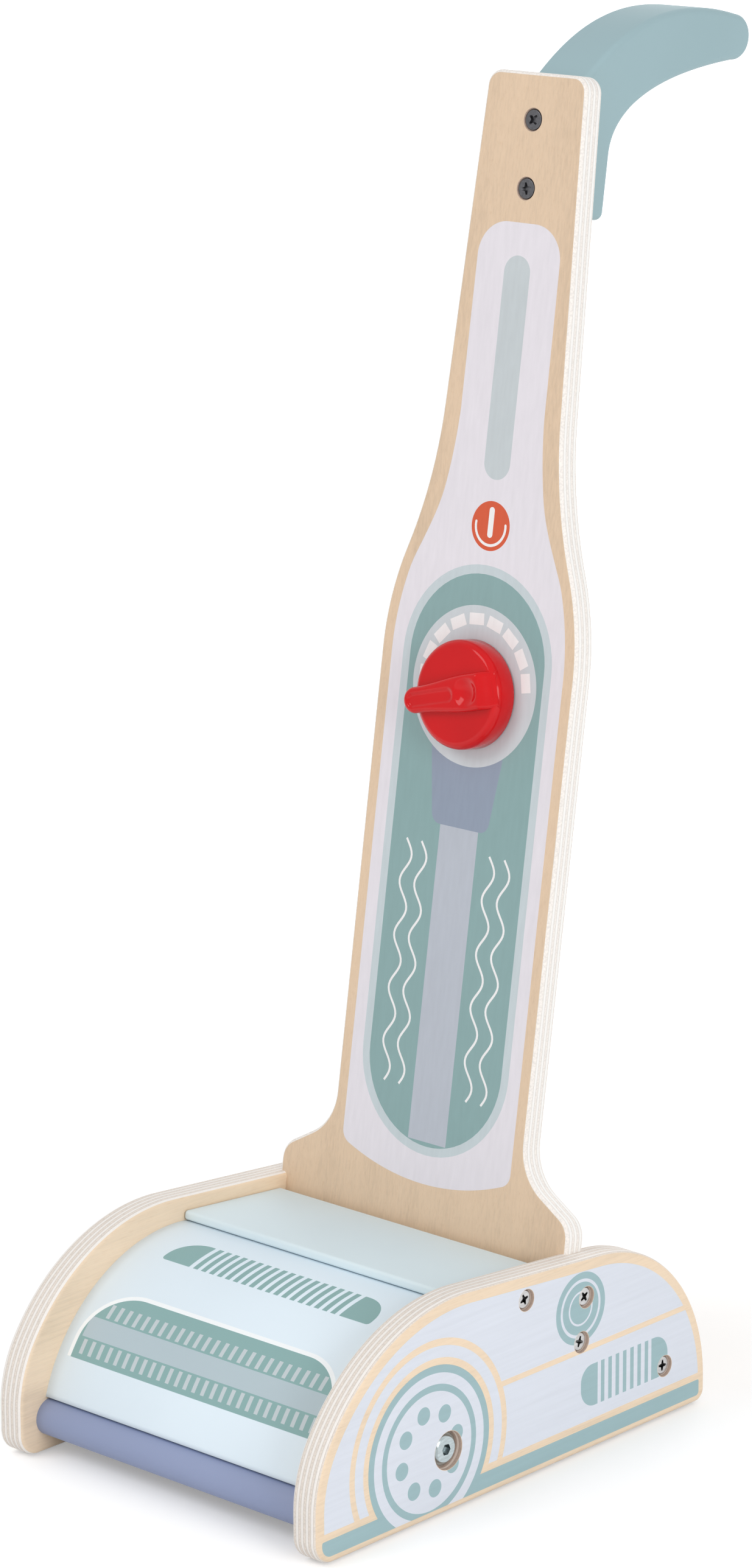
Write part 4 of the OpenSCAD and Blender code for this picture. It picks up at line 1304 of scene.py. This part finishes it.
class TOY_OT_stage(bpy.types.Operator):
    """Pale floor, soft light and camera"""

    bl_idname = "toy.stage"
    bl_label = "Stage"

    def execute(self, context):
        s, scene = context.scene.toy_stage, context.scene
        a, e = s.azimuth, s.elevation
        back = Vector((math.sin(a) * math.cos(e), -math.cos(a) * math.cos(e), math.sin(e)))
        side = Vector((math.cos(a), math.sin(a), 0))
        turn = Matrix((side, back.cross(side), back)).transposed().to_4x4() @ Matrix.Rotation(s.roll, 4, "Z")
        cam = bpy.data.objects.new("camera", bpy.data.cameras.new("camera"))
        scene.collection.objects.link(cam)
        cam.data.lens, cam.data.sensor_width, cam.data.clip_end = s.lens, SENSOR, 50
        cam.matrix_world = Matrix.Translation(s.place) @ turn
        scene.camera = cam
        for name, watts, place, size in (("key", s.key, (-0.6, -1.9, 1.9), 1.0),
                                         ("fill", s.fill, (2.3, -0.7, 0.9), 1.0),
                                         ("rim", 0.6 * s.fill, (-0.8, 2.2, 1.2), 1.6)):
            lamp = bpy.data.objects.new(name, bpy.data.lights.new(name, "AREA"))
            scene.collection.objects.link(lamp)
            lamp.data.energy, lamp.data.size = watts, size
            lamp.location = place
            lamp.rotation_euler = (Vector(LIT) - lamp.location).to_track_quat("-Z", "Y").to_euler()
        self.floor(scene)
        self.sky(scene, s.sky)
        scene.view_settings.view_transform = "Standard"
        return {"FINISHED"}

    def floor(self, scene):
        """Paper below the toy, which glows where it is seen and keeps the toy's shadow."""
        bm = bmesh.new()
        bmesh.ops.create_grid(bm, x_segments=1, y_segments=1, size=6)
        mesh = bpy.data.meshes.new("floor")
        bm.to_mesh(mesh)
        bm.free()
        obj = bpy.data.objects.new("floor", mesh)
        scene.collection.objects.link(obj)
        look = Look("floor_paper", 0.9)
        cloud = look.noise(3, detail=2)
        look.paint(look.ramp(cloud, (0.3, (0.86, 0.86, 0.86)), (0.7, (0.88, 0.88, 0.88))))
        glow = look.node("LightPath")
        seen = look.math("MAXIMUM", glow.outputs["Is Camera Ray"], glow.outputs["Is Glossy Ray"])
        seen = look.math("MAXIMUM", seen, glow.outputs["Is Transmission Ray"])
        away = look.node("VectorMath", {0: look.place}, operation="LENGTH").outputs["Value"]
        lift = look.node("MapRange", {"Value": away, "From Min": 0.15, "From Max": 0.9, "To Min": 0.25,
                                      "To Max": 0.8}).outputs[0]
        look.shader.inputs["Emission Color"].default_value = (1, 1, 1, 1)
        look.tree.links.new(look.math("MULTIPLY", seen, lift), look.shader.inputs["Emission Strength"])
        mesh.materials.append(look.material)

    def sky(self, scene, strength):
        """Even light from all round, which is white where it is seen."""
        world = bpy.data.worlds.new("sky")
        scene.world = world
        world.use_nodes = True
        nodes, links = world.node_tree.nodes, world.node_tree.links
        back = nodes["Background"]
        back.inputs["Color"].default_value = (1, 1, 1, 1)
        ray = nodes.new("ShaderNodeLightPath")
        seen = ray.outputs["Is Camera Ray"]
        for other in ("Is Glossy Ray", "Is Transmission Ray"):
            either = nodes.new("ShaderNodeMath")
            either.operation = "MAXIMUM"
            links.new(seen, either.inputs[0])
            links.new(ray.outputs[other], either.inputs[1])
            seen = either.outputs[0]
        level = nodes.new("ShaderNodeMapRange")
        links.new(seen, level.inputs["Value"])
        level.inputs["To Min"].default_value = strength
        links.new(level.outputs[0], back.inputs["Strength"])


STEPS = (TOY_OT_side_panels, TOY_OT_side_prints, TOY_OT_front_cover, TOY_OT_roller, TOY_OT_lid,
         TOY_OT_upright, TOY_OT_upright_print, TOY_OT_grip, TOY_OT_dial, TOY_OT_screws, TOY_OT_running_gear,
         TOY_OT_stage)


class TOY_PT_build(bpy.types.Panel):
    """Lists the toy's pieces and settings"""

    bl_idname = "TOY_PT_build"
    bl_label = "Toy vacuum cleaner"
    bl_space_type = "VIEW_3D"
    bl_region_type = "UI"
    bl_category = "Toy"

    def draw(self, context):
        for step in STEPS:
            self.layout.operator(step.bl_idname)
        for group in (context.scene.toy_shape, context.scene.toy_finish, context.scene.toy_stage):
            box = self.layout.box()
            for key in group.__annotations__:
                box.prop(group, key)


GROUPS = {"toy_finish": ToyFinish, "toy_shape": ToyShape, "toy_stage": ToyStage}


def register():
    """Registers the settings, the operators and the panel."""
    for cls in (*GROUPS.values(), *STEPS, TOY_PT_build):
        bpy.utils.register_class(cls)
    for key, group in GROUPS.items():
        setattr(bpy.types.Scene, key, PointerProperty(type=group))


def unregister():
    """Takes back what register does."""
    for key in GROUPS:
        delattr(bpy.types.Scene, key)
    for cls in (TOY_PT_build, *reversed(STEPS), *reversed(GROUPS.values())):
        bpy.utils.unregister_class(cls)


def main():
    """Builds the toy piece by piece."""
    register()
    for step in STEPS:
        getattr(bpy.ops.toy, step.bl_idname.split(".")[1])()


if __name__ == "__main__":
    main()
